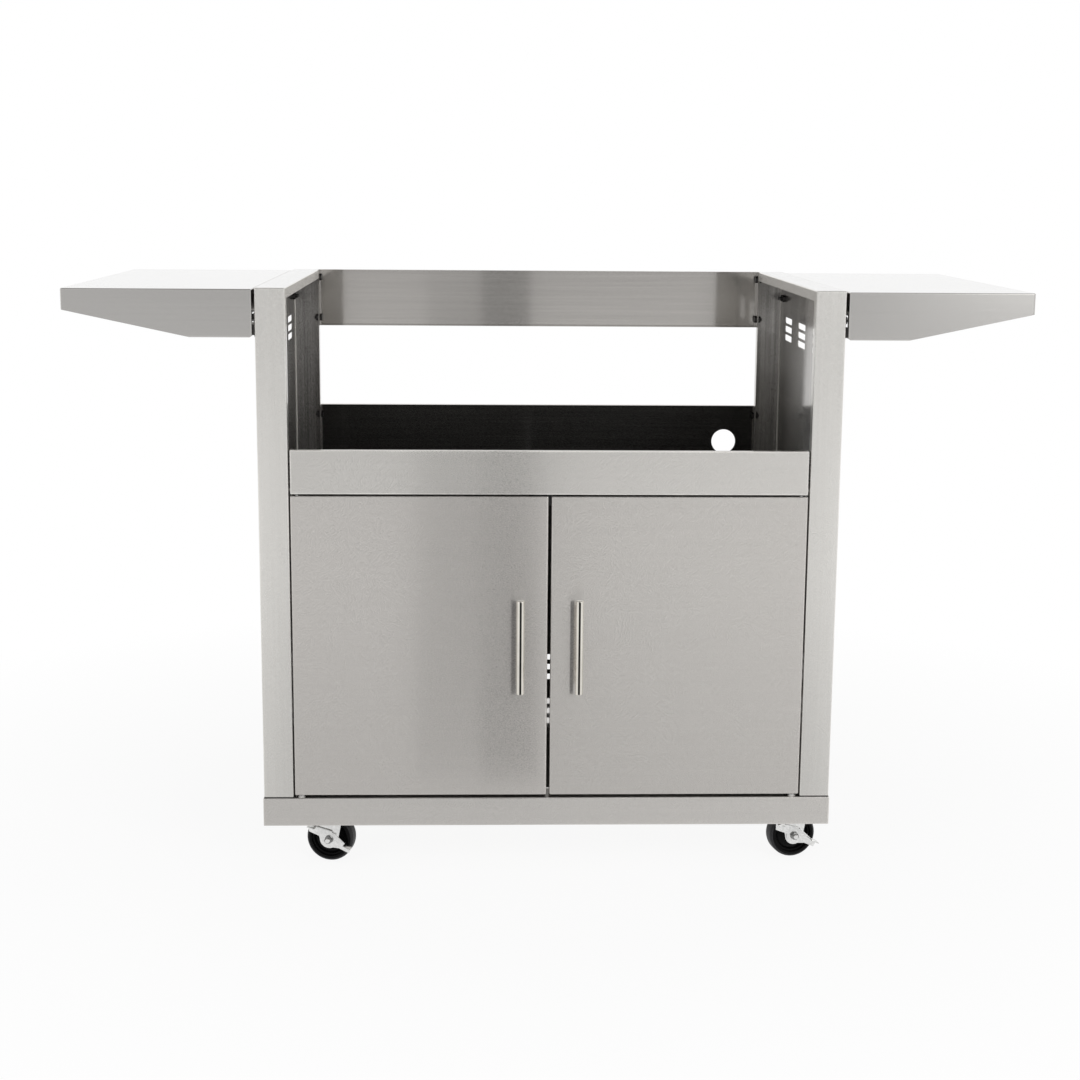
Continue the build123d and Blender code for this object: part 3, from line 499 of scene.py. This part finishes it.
small_bolt = {"Radius": 0.003, "Width": 0.010, "Head": 0.004, "Nut": 0.005, "Pitch": 0.001}
apron_shoulder = {"Shouldered": True, "Shoulder Start": 0.0012, "Shoulder Length": 0.003,
                  "Shoulder Radius": 0.005}
rear_places = [((0.3968, 0.31925, z), (1, 0, 0)) for z in (0.900, 0.828, 0.652, 0.148)]
base_places = [((0.4348, y, 0.1222), (0, 0, -1)) for y in (-0.24675, 0.28925)]
apron_places = [((0.3938, -0.27775, z), (1, 0, 0)) for z in (0.652, 0.621)]
set_of_bolts("hex_frame_bolts", "frame_bolts", both_sides(rear_places + base_places), shade_dark_bolt_steel,
             "fastener_steel", Grip=0.0024, End=0.002, **small_bolt)
set_of_bolts("hex_apron_bolts", "apron_bolts", both_sides(apron_places), shade_dark_bolt_steel, "fastener_steel",
             Grip=0.0054, End=0.002, **apron_shoulder, **small_bolt)


# Door pivots and catch
# Headed steel pins turn in white nylon bushes at the outer corners of the doors; the upper bushes
# are painted near-black for the shade they sit in. A moulded catch with two ferrite magnets hangs
# from the apron and holds a steel strike on each liner.

def moulded(name, tone, roughness, grain_size, shine=0.5, worn_tone=None, worn_from=0.0, worn_to=1.0,
            upper_shade_tone=None, upper_from=0.0):
    # A fine moulded skin with flow marks. Pieces above a height may take a painted shade tone, and a
    # rim that is worn past a radius a worn tone of its own.
    finish, tree, plastic = new_finish(name)
    spot = add_node(tree, "ShaderNodeTexCoord").outputs["Object"]
    skin = noise(tree, spot, grain_size, 3.0)
    flow = spread(tree, noise(tree, spot, 70.0, 2.0), 0.35, 0.65, 0.0, 1.0)
    colour = two_tones(tree, flow, shade(tone, 0.88), shade(tone, 1.1))
    plastic.inputs["Specular IOR Level"].default_value = shine
    if upper_shade_tone:
        height = add_node(tree, "ShaderNodeSeparateXYZ", {0: spot}).outputs[Z]
        upper = calc(tree, "GREATER_THAN", height, upper_from)
        colour = two_tones(tree, upper, colour, shade(upper_shade_tone, 1.0))
    if worn_tone:
        radius = add_node(tree, "ShaderNodeAttribute", attribute_name="radius").outputs["Fac"]
        worn = spread(tree, radius, worn_from, worn_to, 0.0, 1.0)
        colour = two_tones(tree, worn, colour, shade(worn_tone, 1.0))
        worn_shine = spread(tree, worn, 0.0, 1.0, shine, 0.2)
        tree.links.new(worn_shine, plastic.inputs["Specular IOR Level"])
    tree.links.new(colour, plastic.inputs["Base Color"])
    rough = spread(tree, skin, 0.3, 0.7, roughness - 0.07, roughness + 0.07)
    tree.links.new(rough, plastic.inputs["Roughness"])
    bump = add_node(tree, "ShaderNodeBump", {"Strength": 0.25, "Distance": 0.0001, "Height": skin})
    tree.links.new(bump.outputs[0], plastic.inputs["Normal"])
    return finish


white_nylon = (0.74, 0.725, 0.69)
upper_bush_shade_tone = (0.03, 0.03, 0.03)
bush_nylon = moulded("bush_nylon", white_nylon, 0.48, 1200.0, upper_shade_tone=upper_bush_shade_tone, upper_from=0.4)
dress(bush_nylon, "door_pivot_bushes")
dress(moulded("catch_moulding", (0.07, 0.07, 0.072), 0.45, 1400.0), "door_catch")
dress(plain_steel("ferrite_magnet", (0.16, 0.16, 0.165), 0.5), "catch_magnets")
pin_steel = plain_steel("pin_steel", (0.55, 0.54, 0.53), 0.28)
dress(pin_steel, "left_pivot_pins", "right_pivot_pins", "left_strike_plate", "right_strike_plate")


# Door handles
# Round stainless bars with a bright turned polish, each on two turned posts. Screws from behind the
# skin hold the posts, so no fastener shows from the front.

def lathe_marks(tree, spot, axis, per_metre):
    scale = [30.0] * 3
    scale[axis] = per_metre
    rings = add_node(tree, "ShaderNodeMapping", {"Vector": spot, "Scale": scale}).outputs[0]
    return noise(tree, rings, 1.0, 2.0)


def polished_steel(name, tone, axis):
    # Fine turned marks round the axis, with smears where hands have touched it
    finish, tree, steel = new_finish(name)
    spot = add_node(tree, "ShaderNodeTexCoord").outputs["Object"]
    marks = lathe_marks(tree, spot, axis, 2600.0)
    touch = noise(tree, spot, 38.0, 3.0)
    touched = spread(tree, touch, 0.4, 0.7, 0.0, 1.0)
    colour = two_tones(tree, touched, shade(tone, 1.03), shade(tone, 0.93))
    tree.links.new(colour, steel.inputs["Base Color"])
    turned = spread(tree, marks, 0.3, 0.7, 0.05, 0.09)
    smeared = spread(tree, touch, 0.45, 0.75, 0.0, 0.09)
    tree.links.new(calc(tree, "ADD", turned, smeared), steel.inputs["Roughness"])
    bump = add_node(tree, "ShaderNodeBump", {"Strength": 0.03, "Distance": 0.0001, "Height": marks})
    tree.links.new(bump.outputs[0], steel.inputs["Normal"])
    steel.inputs["Metallic"].default_value = 1.0
    return finish


handle_tone = (0.87, 0.84, 0.77)
dress(polished_steel("handle_polish", handle_tone, Z), "left_handle_bar", "right_handle_bar")
dress(polished_steel("post_polish", handle_tone, Y), "left_handle_posts", "right_handle_posts")
dress(pin_steel, "left_handle_screws", "right_handle_screws")


# Side shelves
# Tapered pans folded from brushed sheet, open underneath. Two hangers in each hold a hinge rod that
# turns in brackets bolted to the side panel, so the shelf folds down.

shelf_tone = (0.555, 0.543, 0.525)
for side in ("left", "right"):
    pan_steel = brushed_steel(side + "_shelf_steel", side + "_shelf_pan", X, Z, shelf_tone, 0.09, 0.2, 0.6,
                              painted_top_tone=lit_top_tone)
    dress(pan_steel, side + "_shelf_pan")
dress(pin_steel, "left_shelf_hinge_rod", "right_shelf_hinge_rod")
# Painted shade: the hangers and brackets under the shelves take a dark tone
bracket_shade_tone = (0.16, 0.155, 0.15)
dress(brushed_steel("hanger_steel", "right_shelf_hangers", Z, X, bracket_shade_tone, 0.25, 0.45),
      "left_shelf_hangers", "right_shelf_hangers")
dress(brushed_steel("bracket_steel", "shelf_brackets", Z, X, bracket_shade_tone, 0.25, 0.45), "shelf_brackets")
bracket_y = [middle + step for middle in (-0.25075, 0.29325) for step in (-0.009, 0.009)]
bracket_places = [((0.4465, y, 0.868), (-1, 0, 0)) for y in bracket_y]
set_of_bolts("hex_bracket_bolts", "shelf_bracket_bolts", both_sides(bracket_places), shade_dark_bolt_steel,
             "fastener_steel", Grip=0.0037, End=0.005, **small_bolt)


# Casters
# Swivel casters in bright zinc: a plate bolted to the rail, a folded fork on a kingpin, and a wheel
# on an axle bolt. The plates and forks are pressed, so their edges are rolled over.

def zinc_plate(name, tone, shank_tone=None):
    # A fine spangle under a cloudy bloom. The shank of a bolt may have a tone of its own.
    finish, tree, zinc = new_finish(name)
    spot = add_node(tree, "ShaderNodeTexCoord").outputs["Object"]
    spangle = add_node(tree, "ShaderNodeTexVoronoi", {"Vector": spot, "Scale": 420.0}).outputs["Color"]
    spangle = add_node(tree, "ShaderNodeSeparateColor", {0: spangle}).outputs[0]
    bloom = noise(tree, spot, 45.0, 4.0)
    mix = calc(tree, "ADD", calc(tree, "MULTIPLY", spangle, 0.35), calc(tree, "MULTIPLY", bloom, 0.65))
    colour = two_tones(tree, spread(tree, mix, 0.3, 0.7, 0.0, 1.0), shade(tone, 0.88), shade(tone, 1.08))
    if shank_tone:
        on_shank = add_node(tree, "ShaderNodeAttribute", attribute_name="shank").outputs["Fac"]
        colour = two_tones(tree, on_shank, colour, shade(shank_tone, 1.0))
    tree.links.new(colour, zinc.inputs["Base Color"])
    tree.links.new(spread(tree, mix, 0.3, 0.7, 0.13, 0.24), zinc.inputs["Roughness"])
    bump = add_node(tree, "ShaderNodeBump", {"Strength": 0.08, "Distance": 0.0001, "Height": mix})
    tree.links.new(bump.outputs[0], zinc.inputs["Normal"])
    zinc.inputs["Metallic"].default_value = 1.0
    return finish


zinc_tone = (0.80, 0.80, 0.79)
# Painted shade: the axle bolts' heads and nuts are dark, their shanks bright zinc
axle_nut_shade_tone = (0.24, 0.24, 0.238)
bright_zinc = zinc_plate("bright_zinc", zinc_tone)
axle_zinc = zinc_plate("axle_zinc", axle_nut_shade_tone, zinc_tone)


def rolled_edges(node, body, finish, slot, width):
    # A copy of the pressed piece with its sheared edges rolled over and hairline faces taken out
    weld, hairline = 1e-6, 2e-6
    same_face = math.radians(0.5)
    copy = bmesh.new()
    copy.from_mesh(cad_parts[node].data)
    bmesh.ops.remove_doubles(copy, verts=copy.verts, dist=weld)
    bmesh.ops.dissolve_limit(copy, angle_limit=same_face, verts=copy.verts, edges=copy.edges)
    mesh = bpy.data.meshes.new("pressed_" + node)
    copy.to_mesh(mesh)
    copy.free()
    maker = bpy.data.objects.new("maker", mesh)
    bpy.context.scene.collection.objects.link(maker)
    bevel = maker.modifiers.new("rolled", "BEVEL")
    bevel.width = width
    bevel.segments = 2
    bevel.limit_method = "ANGLE"
    bevel.angle_limit = math.radians(40.0)
    made = bpy.data.meshes.new_from_object(maker.evaluated_get(bpy.context.evaluated_depsgraph_get()))
    bpy.data.objects.remove(maker)
    copy = bmesh.new()
    copy.from_mesh(made)
    bmesh.ops.dissolve_degenerate(copy, dist=hairline, edges=copy.edges)
    bmesh.ops.triangulate(copy, faces=[face for face in copy.faces if len(face.verts) > 4])
    bmesh.ops.dissolve_degenerate(copy, dist=hairline, edges=copy.edges)
    copy.to_mesh(made)
    copy.free()
    made.materials.clear()
    made.materials.append(finish)
    smooth_by_angle(made, 50.0)
    new_piece("pressed_" + node, made, body, slot, node)


# Kingpin of each caster in x and y, and the turn that it stands at, in degrees
corners = {"front_left": (-0.3705, -0.22175, -11.0), "front_right": (0.3705, -0.22175, 12.0),
           "rear_left": (-0.3705, 0.26425, 0.0), "rear_right": (0.3705, 0.26425, 0.0)}
wheel_trail = 0.027
wheel_radius = 0.038
fork_half_width = 0.018
brake_room = 0.0026
for corner, (x, y, swivel) in corners.items():
    rolled_edges(corner + "_caster_plate", "cart_frame", bright_zinc, "zinc_steel", 0.0006)
    rolled_edges(corner + "_fork", corner + "_caster", bright_zinc, "zinc_steel", 0.0007)
    turned = Matrix.Rotation(math.radians(swivel), 3, "Z")
    seat = Vector((x, y, wheel_radius)) + turned @ Vector((wheel_trail, fork_half_width, 0.0))
    grip = 2.0 * fork_half_width + (brake_room if corner.startswith("front") else 0.0)
    aim = turned @ Vector((0.0, -1.0, 0.0))
    set_of_bolts(corner + "_hex_axle", corner + "_axle", [(seat, aim)], axle_zinc, "zinc_steel",
                 corner + "_caster", Radius=0.0036, Width=0.0108, Head=0.0055, Nut=0.0045,
                 Pitch=0.00125, Grip=grip, End=0.0035)
dress(bright_zinc, "caster_kingpins")
plate_z = 0.100
plate_places = [((x + across, y + along, plate_z), (0, 0, 1)) for x, y, _ in corners.values()
                for across in (-0.0225, 0.0225) for along in (-0.0375, 0.0375)]
set_of_bolts("hex_caster_bolts", "caster_bolts", plate_places, bright_zinc, "zinc_steel",
             Radius=0.0039, Width=0.013, Head=0.004, Nut=0.005, Pitch=0.00125, Grip=0.0045, End=0.002)


# Wheels and treads
# Each wheel is a black moulded core with a hollowed face and a bored hub. A rubber tread is moulded
# round its rim, and running has worn the tread's outer edge greyer.

ring_steps = 96


def turned_ring(name, section, corner, finish, slot, node):
    # section: half of the closed outline, as radius and distance from the middle; the rest mirrors it
    outline = section + [(radius, -along) for radius, along in reversed(section)]
    x, y, swivel = corners[corner]
    place = Matrix.Translation((x, y, 0.0)) @ Matrix.Rotation(math.radians(swivel), 4, "Z")
    place = place @ Matrix.Translation((wheel_trail, 0.0, wheel_radius))
    shape = bmesh.new()
    rings = []
    for step in range(ring_steps):
        angle = 2.0 * math.pi * step / ring_steps
        spots = [(radius * math.cos(angle), along, radius * math.sin(angle)) for radius, along in outline]
        rings.append([shape.verts.new(place @ Vector(spot)) for spot in spots])
    for step in range(ring_steps):
        near, far = rings[step], rings[(step + 1) % ring_steps]
        for i in range(len(outline)):
            j = (i + 1) % len(outline)
            shape.faces.new((near[i], near[j], far[j], far[i]))
    bmesh.ops.recalc_face_normals(shape, faces=shape.faces)
    mesh = bpy.data.meshes.new(name)
    shape.to_mesh(mesh)
    shape.free()
    radii = mesh.attributes.new("radius", "FLOAT", "POINT")
    radii.data.foreach_set("value", [radius for radius, _ in outline] * ring_steps)
    mesh.materials.append(finish)
    smooth_by_angle(mesh, 38.0)
    new_piece(name, mesh, corner + "_roller", slot, node)


core_section = [(0.00405, 0.0152), (0.0095, 0.0152), (0.0106, 0.0147), (0.0110, 0.0136), (0.0114, 0.0080),
                (0.0124, 0.0056), (0.0142, 0.0044), (0.0225, 0.0040), (0.0245, 0.0046), (0.0256, 0.0060),
                (0.0262, 0.0078), (0.0270, 0.0085), (0.0300, 0.0085)]
tread_section = [(0.0300, 0.0120), (0.0303, 0.0125), (0.0326, 0.0125), (0.0330, 0.0122), (0.0334, 0.0125),
                 (0.0352, 0.0123), (0.0366, 0.0114), (0.0375, 0.0098), (0.0379, 0.0076), (0.0380, 0.0040)]
black_tone = (0.003, 0.003, 0.0032)
worn_tone = (0.03, 0.03, 0.032)
core_plastic = moulded("wheel_moulding", black_tone, 0.38, 900.0, shine=0.1)
tread_rubber = moulded("tread_rubber", black_tone, 0.5, 700.0, shine=0.1, worn_tone=worn_tone,
                       worn_from=0.0335, worn_to=0.0345)
for corner in corners:
    turned_ring(corner + "_wheel_core", core_section, corner, core_plastic, "wheel_plastic",
                corner + "_wheel")
    turned_ring(corner + "_wheel_tread", tread_section, corner, tread_rubber, "tread_rubber",
                corner + "_tread")


# Brake levers
# Stamped levers in bright zinc that turn on the front axles, outside the forks. A foot pad is folded
# forwards at each end.

for corner in ("front_left", "front_right"):
    rolled_edges(corner + "_brake_lever", corner + "_brake", bright_zinc, "zinc_steel", 0.0006)


# Studio
# A white paper floor and surround, with a bright window ahead on the right and a dark ceiling in front.
# Cards that only the steel mirrors stand where the camera is, on the floor before it, and close to
# the handles, where they give the bars their dark line and the doors the bars' shadow.

def seen_directly(tree):
    path = add_node(tree, "ShaderNodeLightPath").outputs
    seen = calc(tree, "MAXIMUM", path["Is Camera Ray"], path["Is Glossy Ray"])
    return calc(tree, "MAXIMUM", seen, path["Is Transmission Ray"]), path["Is Camera Ray"]


def between(tree, value, low, high, soft):
    rise = spread(tree, value, low - soft, low + soft, 0.0, 1.0)
    return calc(tree, "MULTIPLY", rise, spread(tree, value, high - soft, high + soft, 1.0, 0.0))


floor_reach = 14.0
floor_mesh = bpy.data.meshes.new("floor")
floor_corners = [(-floor_reach, -floor_reach, 0), (floor_reach, -floor_reach, 0),
                 (floor_reach, floor_reach, 0), (-floor_reach, floor_reach, 0)]
floor_mesh.from_pydata(floor_corners, [], [(0, 1, 2, 3)])
floor = bpy.data.objects.new("floor", floor_mesh)
bpy.context.scene.collection.objects.link(floor)
floor_finish, tree, _ = new_finish("studio_floor")
tree.nodes.clear()
spot = add_node(tree, "ShaderNodeTexCoord").outputs["Object"]
spot_y = add_node(tree, "ShaderNodeSeparateXYZ", {0: spot}).outputs[Y]
distance = add_node(tree, "ShaderNodeVectorMath", {0: spot}, operation="LENGTH").outputs["Value"]
front_side = spread(tree, spot_y, -0.2, -0.5, 0.0, 1.0)
dim_near = spread(tree, distance, 0.9, 2.6, 0.28, 0.06)
dim_far = spread(tree, distance, 4.0, 10.0, 0.0, 0.25)
dim_paper = calc(tree, "MULTIPLY", calc(tree, "ADD", dim_near, dim_far), front_side)
seen, by_camera = seen_directly(tree)
bright_paper = calc(tree, "SUBTRACT", 1.0, dim_paper)
level = calc(tree, "ADD", bright_paper, calc(tree, "MULTIPLY", dim_paper, by_camera))
glow_share = calc(tree, "MULTIPLY", spread(tree, distance, 0.6, 1.6, 0.9, 1.0), seen)
paper = add_node(tree, "ShaderNodeBsdfDiffuse", {"Color": (0.93, 0.93, 0.93, 1.0)})
glow = add_node(tree, "ShaderNodeEmission", {"Color": (1.0, 1.0, 1.0, 1.0), "Strength": level})
surface = add_node(tree, "ShaderNodeMixShader", {0: glow_share, 1: paper.outputs[0], 2: glow.outputs[0]})
add_node(tree, "ShaderNodeOutputMaterial", {0: surface.outputs[0]})
floor_mesh.materials.append(floor_finish)


def card_cloth(name, level):
    cloth, tree, _ = new_finish(name)
    tree.nodes.clear()
    shine = add_node(tree, "ShaderNodeEmission", {"Color": (1.0, 1.0, 1.0, 1.0), "Strength": level})
    add_node(tree, "ShaderNodeOutputMaterial", {0: shine.outputs[0]})
    return cloth


def mirror_card(name, cloth, *corners):
    # A card that only the steel shows
    mesh = bpy.data.meshes.new(name)
    mesh.from_pydata(corners, [], [(0, 1, 2, 3)])
    mesh.materials.append(cloth)
    card = bpy.data.objects.new(name, mesh)
    card.visible_camera = card.visible_diffuse = card.visible_shadow = False
    bpy.context.scene.collection.objects.link(card)


def upright_card(name, cloth, x0, x1, y, z0, z1):
    mirror_card(name, cloth, (x0, y, z0), (x1, y, z0), (x1, y, z1), (x0, y, z1))


def floor_strip(name, cloth, near_x, far_x):
    # near_x, far_x: the strip's two sides at the cart and at the camera
    mirror_card(name, cloth, (near_x[0], strip_near_y, strip_z), (near_x[1], strip_near_y, strip_z),
                (far_x[1], camera_card_y, strip_z), (far_x[0], camera_card_y, strip_z))


pale_cloth = card_cloth("pale_cloth", 0.55)
grey_cloth = card_cloth("grey_cloth", 0.33)
black_cloth = card_cloth("black_cloth", 0.02)
shadow_cloth = card_cloth("shadow_cloth", 0.2)
camera_card_y = -3.13
camera_card_top = 1.7
strip_near_y = -0.75
strip_z = 0.004
upright_card("camera_card", grey_cloth, -0.1, 0.077, camera_card_y, 0.0, camera_card_top)
upright_card("camera_side_card", pale_cloth, -0.298, -0.1, camera_card_y, 0.0, camera_card_top)
floor_strip("floor_card", grey_cloth, (-0.105, 0.0), (-0.1, 0.077))
floor_strip("floor_side_card", pale_cloth, (-0.222, -0.105), (-0.298, -0.1))
# A dark line for each bar, its shadow on the door, and a pale card that the door mirrors in place of the
# bar's upper end
end_cloths = {"left": pale_cloth, "right": card_cloth("end_glow_cloth", 0.72)}
door_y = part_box("left_door_skin")[0].y
shadow_reach = {"left": 0.0133, "right": 0.0118}
for side in ("left", "right"):
    low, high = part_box(side + "_handle_bar")
    bar_x = (low.x + high.x) / 2
    upright_card(side + "_bar_card", black_cloth, bar_x - 0.0031, bar_x + 0.0029, low.y - 0.002,
                 low.z - 0.003, high.z - 0.001)
    upright_card(side + "_door_card", shadow_cloth, bar_x - shadow_reach[side], bar_x - 0.006,
                 door_y - 0.008, low.z - 0.012, high.z - 0.010)
    upright_card(side + "_end_card", end_cloths[side], low.x - 0.003, high.x + 0.003, door_y - 0.012,
                 high.z - 0.012, high.z + 0.006)

# The surround: white for the camera, and walls, ceiling and window for the steel
world = bpy.data.worlds.new("white_surround")
world.use_nodes = True
bpy.context.scene.world = world
tree = world.node_tree
tree.nodes.clear()
way = add_node(tree, "ShaderNodeTexCoord").outputs["Generated"]
way_x, way_y, way_z = add_node(tree, "ShaderNodeSeparateXYZ", {0: way}).outputs
turn = calc(tree, "ARCTAN2", way_x, calc(tree, "MULTIPLY", way_y, -1.0))
off_middle = calc(tree, "ABSOLUTE", turn)
front_wall = spread(tree, off_middle, 0.1, 0.24, 0.8, 0.94)
side_wall = spread(tree, off_middle, 0.8, 1.2, 0.0, 0.06)
bright_side = calc(tree, "MULTIPLY", between(tree, turn, 0.24, 1.2, 0.04), 0.8)
ahead = spread(tree, way_y, 0.2, -0.2, 0.0, 1.0)
ceiling = calc(tree, "MULTIPLY", spread(tree, way_z, 0.35, 0.75, 0.0, 1.0), ahead)
window_height = between(tree, way_z, 0.02, 0.6, 0.05)
window = calc(tree, "MULTIPLY", between(tree, turn, 0.32, 0.52, 0.04), window_height)
level = calc(tree, "ADD", calc(tree, "ADD", front_wall, side_wall), bright_side)
horizon = calc(tree, "MULTIPLY", spread(tree, way_z, 0.15, 0.35, 0.25, 0.0), ahead)
level = calc(tree, "MULTIPLY", level, calc(tree, "SUBTRACT", 1.0, horizon))
level = calc(tree, "MULTIPLY", level, calc(tree, "SUBTRACT", 1.0, calc(tree, "MULTIPLY", ceiling, 0.85)))
level = calc(tree, "ADD", level, calc(tree, "MULTIPLY", window, 2.0))
soft_light = add_node(tree, "ShaderNodeBackground", {"Color": (1.0, 1.0, 1.0, 1.0), "Strength": 0.5})
walls = add_node(tree, "ShaderNodeBackground", {"Color": (1.0, 1.0, 1.0, 1.0), "Strength": level})
backdrop = add_node(tree, "ShaderNodeBackground", {"Color": (1.0, 1.0, 1.0, 1.0), "Strength": 1.0})
seen, by_camera = seen_directly(tree)
room = add_node(tree, "ShaderNodeMixShader", {0: by_camera, 1: walls.outputs[0], 2: backdrop.outputs[0]})
surround = add_node(tree, "ShaderNodeMixShader", {0: seen, 1: soft_light.outputs[0], 2: room.outputs[0]})
add_node(tree, "ShaderNodeOutputWorld", {0: surround.outputs[0]})


def soft_lamp(name, place, target, size, power):
    lamp = bpy.data.lights.new(name, "AREA")
    lamp.shape = "RECTANGLE"
    lamp.size, lamp.size_y = size
    lamp.energy = power
    holder = bpy.data.objects.new(name, lamp)
    holder.location = place
    holder.rotation_euler = (Vector(target) - Vector(place)).to_track_quat("-Z", "Y").to_euler()
    holder.visible_glossy = False
    bpy.context.scene.collection.objects.link(holder)


cart_middle = (0.0, 0.0, 0.5)
soft_lamp("right_lamp", (2.0, -3.2, 1.9), cart_middle, (1.8, 2.0), 48.0)
soft_lamp("left_lamp", (-2.6, -2.8, 1.7), cart_middle, (1.6, 2.0), 26.0)


# Camera
# Stands where the photograph was taken, found from the cart's own corners in the picture. It looks
# along +Y, turned by its yaw and pitch and tilted by its roll.

camera_place = Vector((-0.10909, -3.12820, 1.07053))
yaw, pitch, roll = (math.radians(angle) for angle in (1.8937, 10.7145, 0.4364))
forward = Vector((math.sin(yaw) * math.cos(pitch), math.cos(yaw) * math.cos(pitch), -math.sin(pitch)))
level_right = Vector((math.cos(yaw), -math.sin(yaw), 0.0))
level_up = level_right.cross(forward)
right = math.cos(roll) * level_right + math.sin(roll) * level_up
up = math.cos(roll) * level_up - math.sin(roll) * level_right
camera_data = bpy.data.cameras.new("photo_camera")
camera_data.lens = 62.957
camera_data.sensor_width = 36.0
camera = bpy.data.objects.new("photo_camera", camera_data)
camera_turn = Matrix((right, up, -forward)).transposed().to_4x4()
camera.matrix_world = Matrix.Translation(camera_place) @ camera_turn
bpy.context.scene.collection.objects.link(camera)
bpy.context.scene.camera = camera
bpy.context.scene.view_settings.view_transform = "Standard"
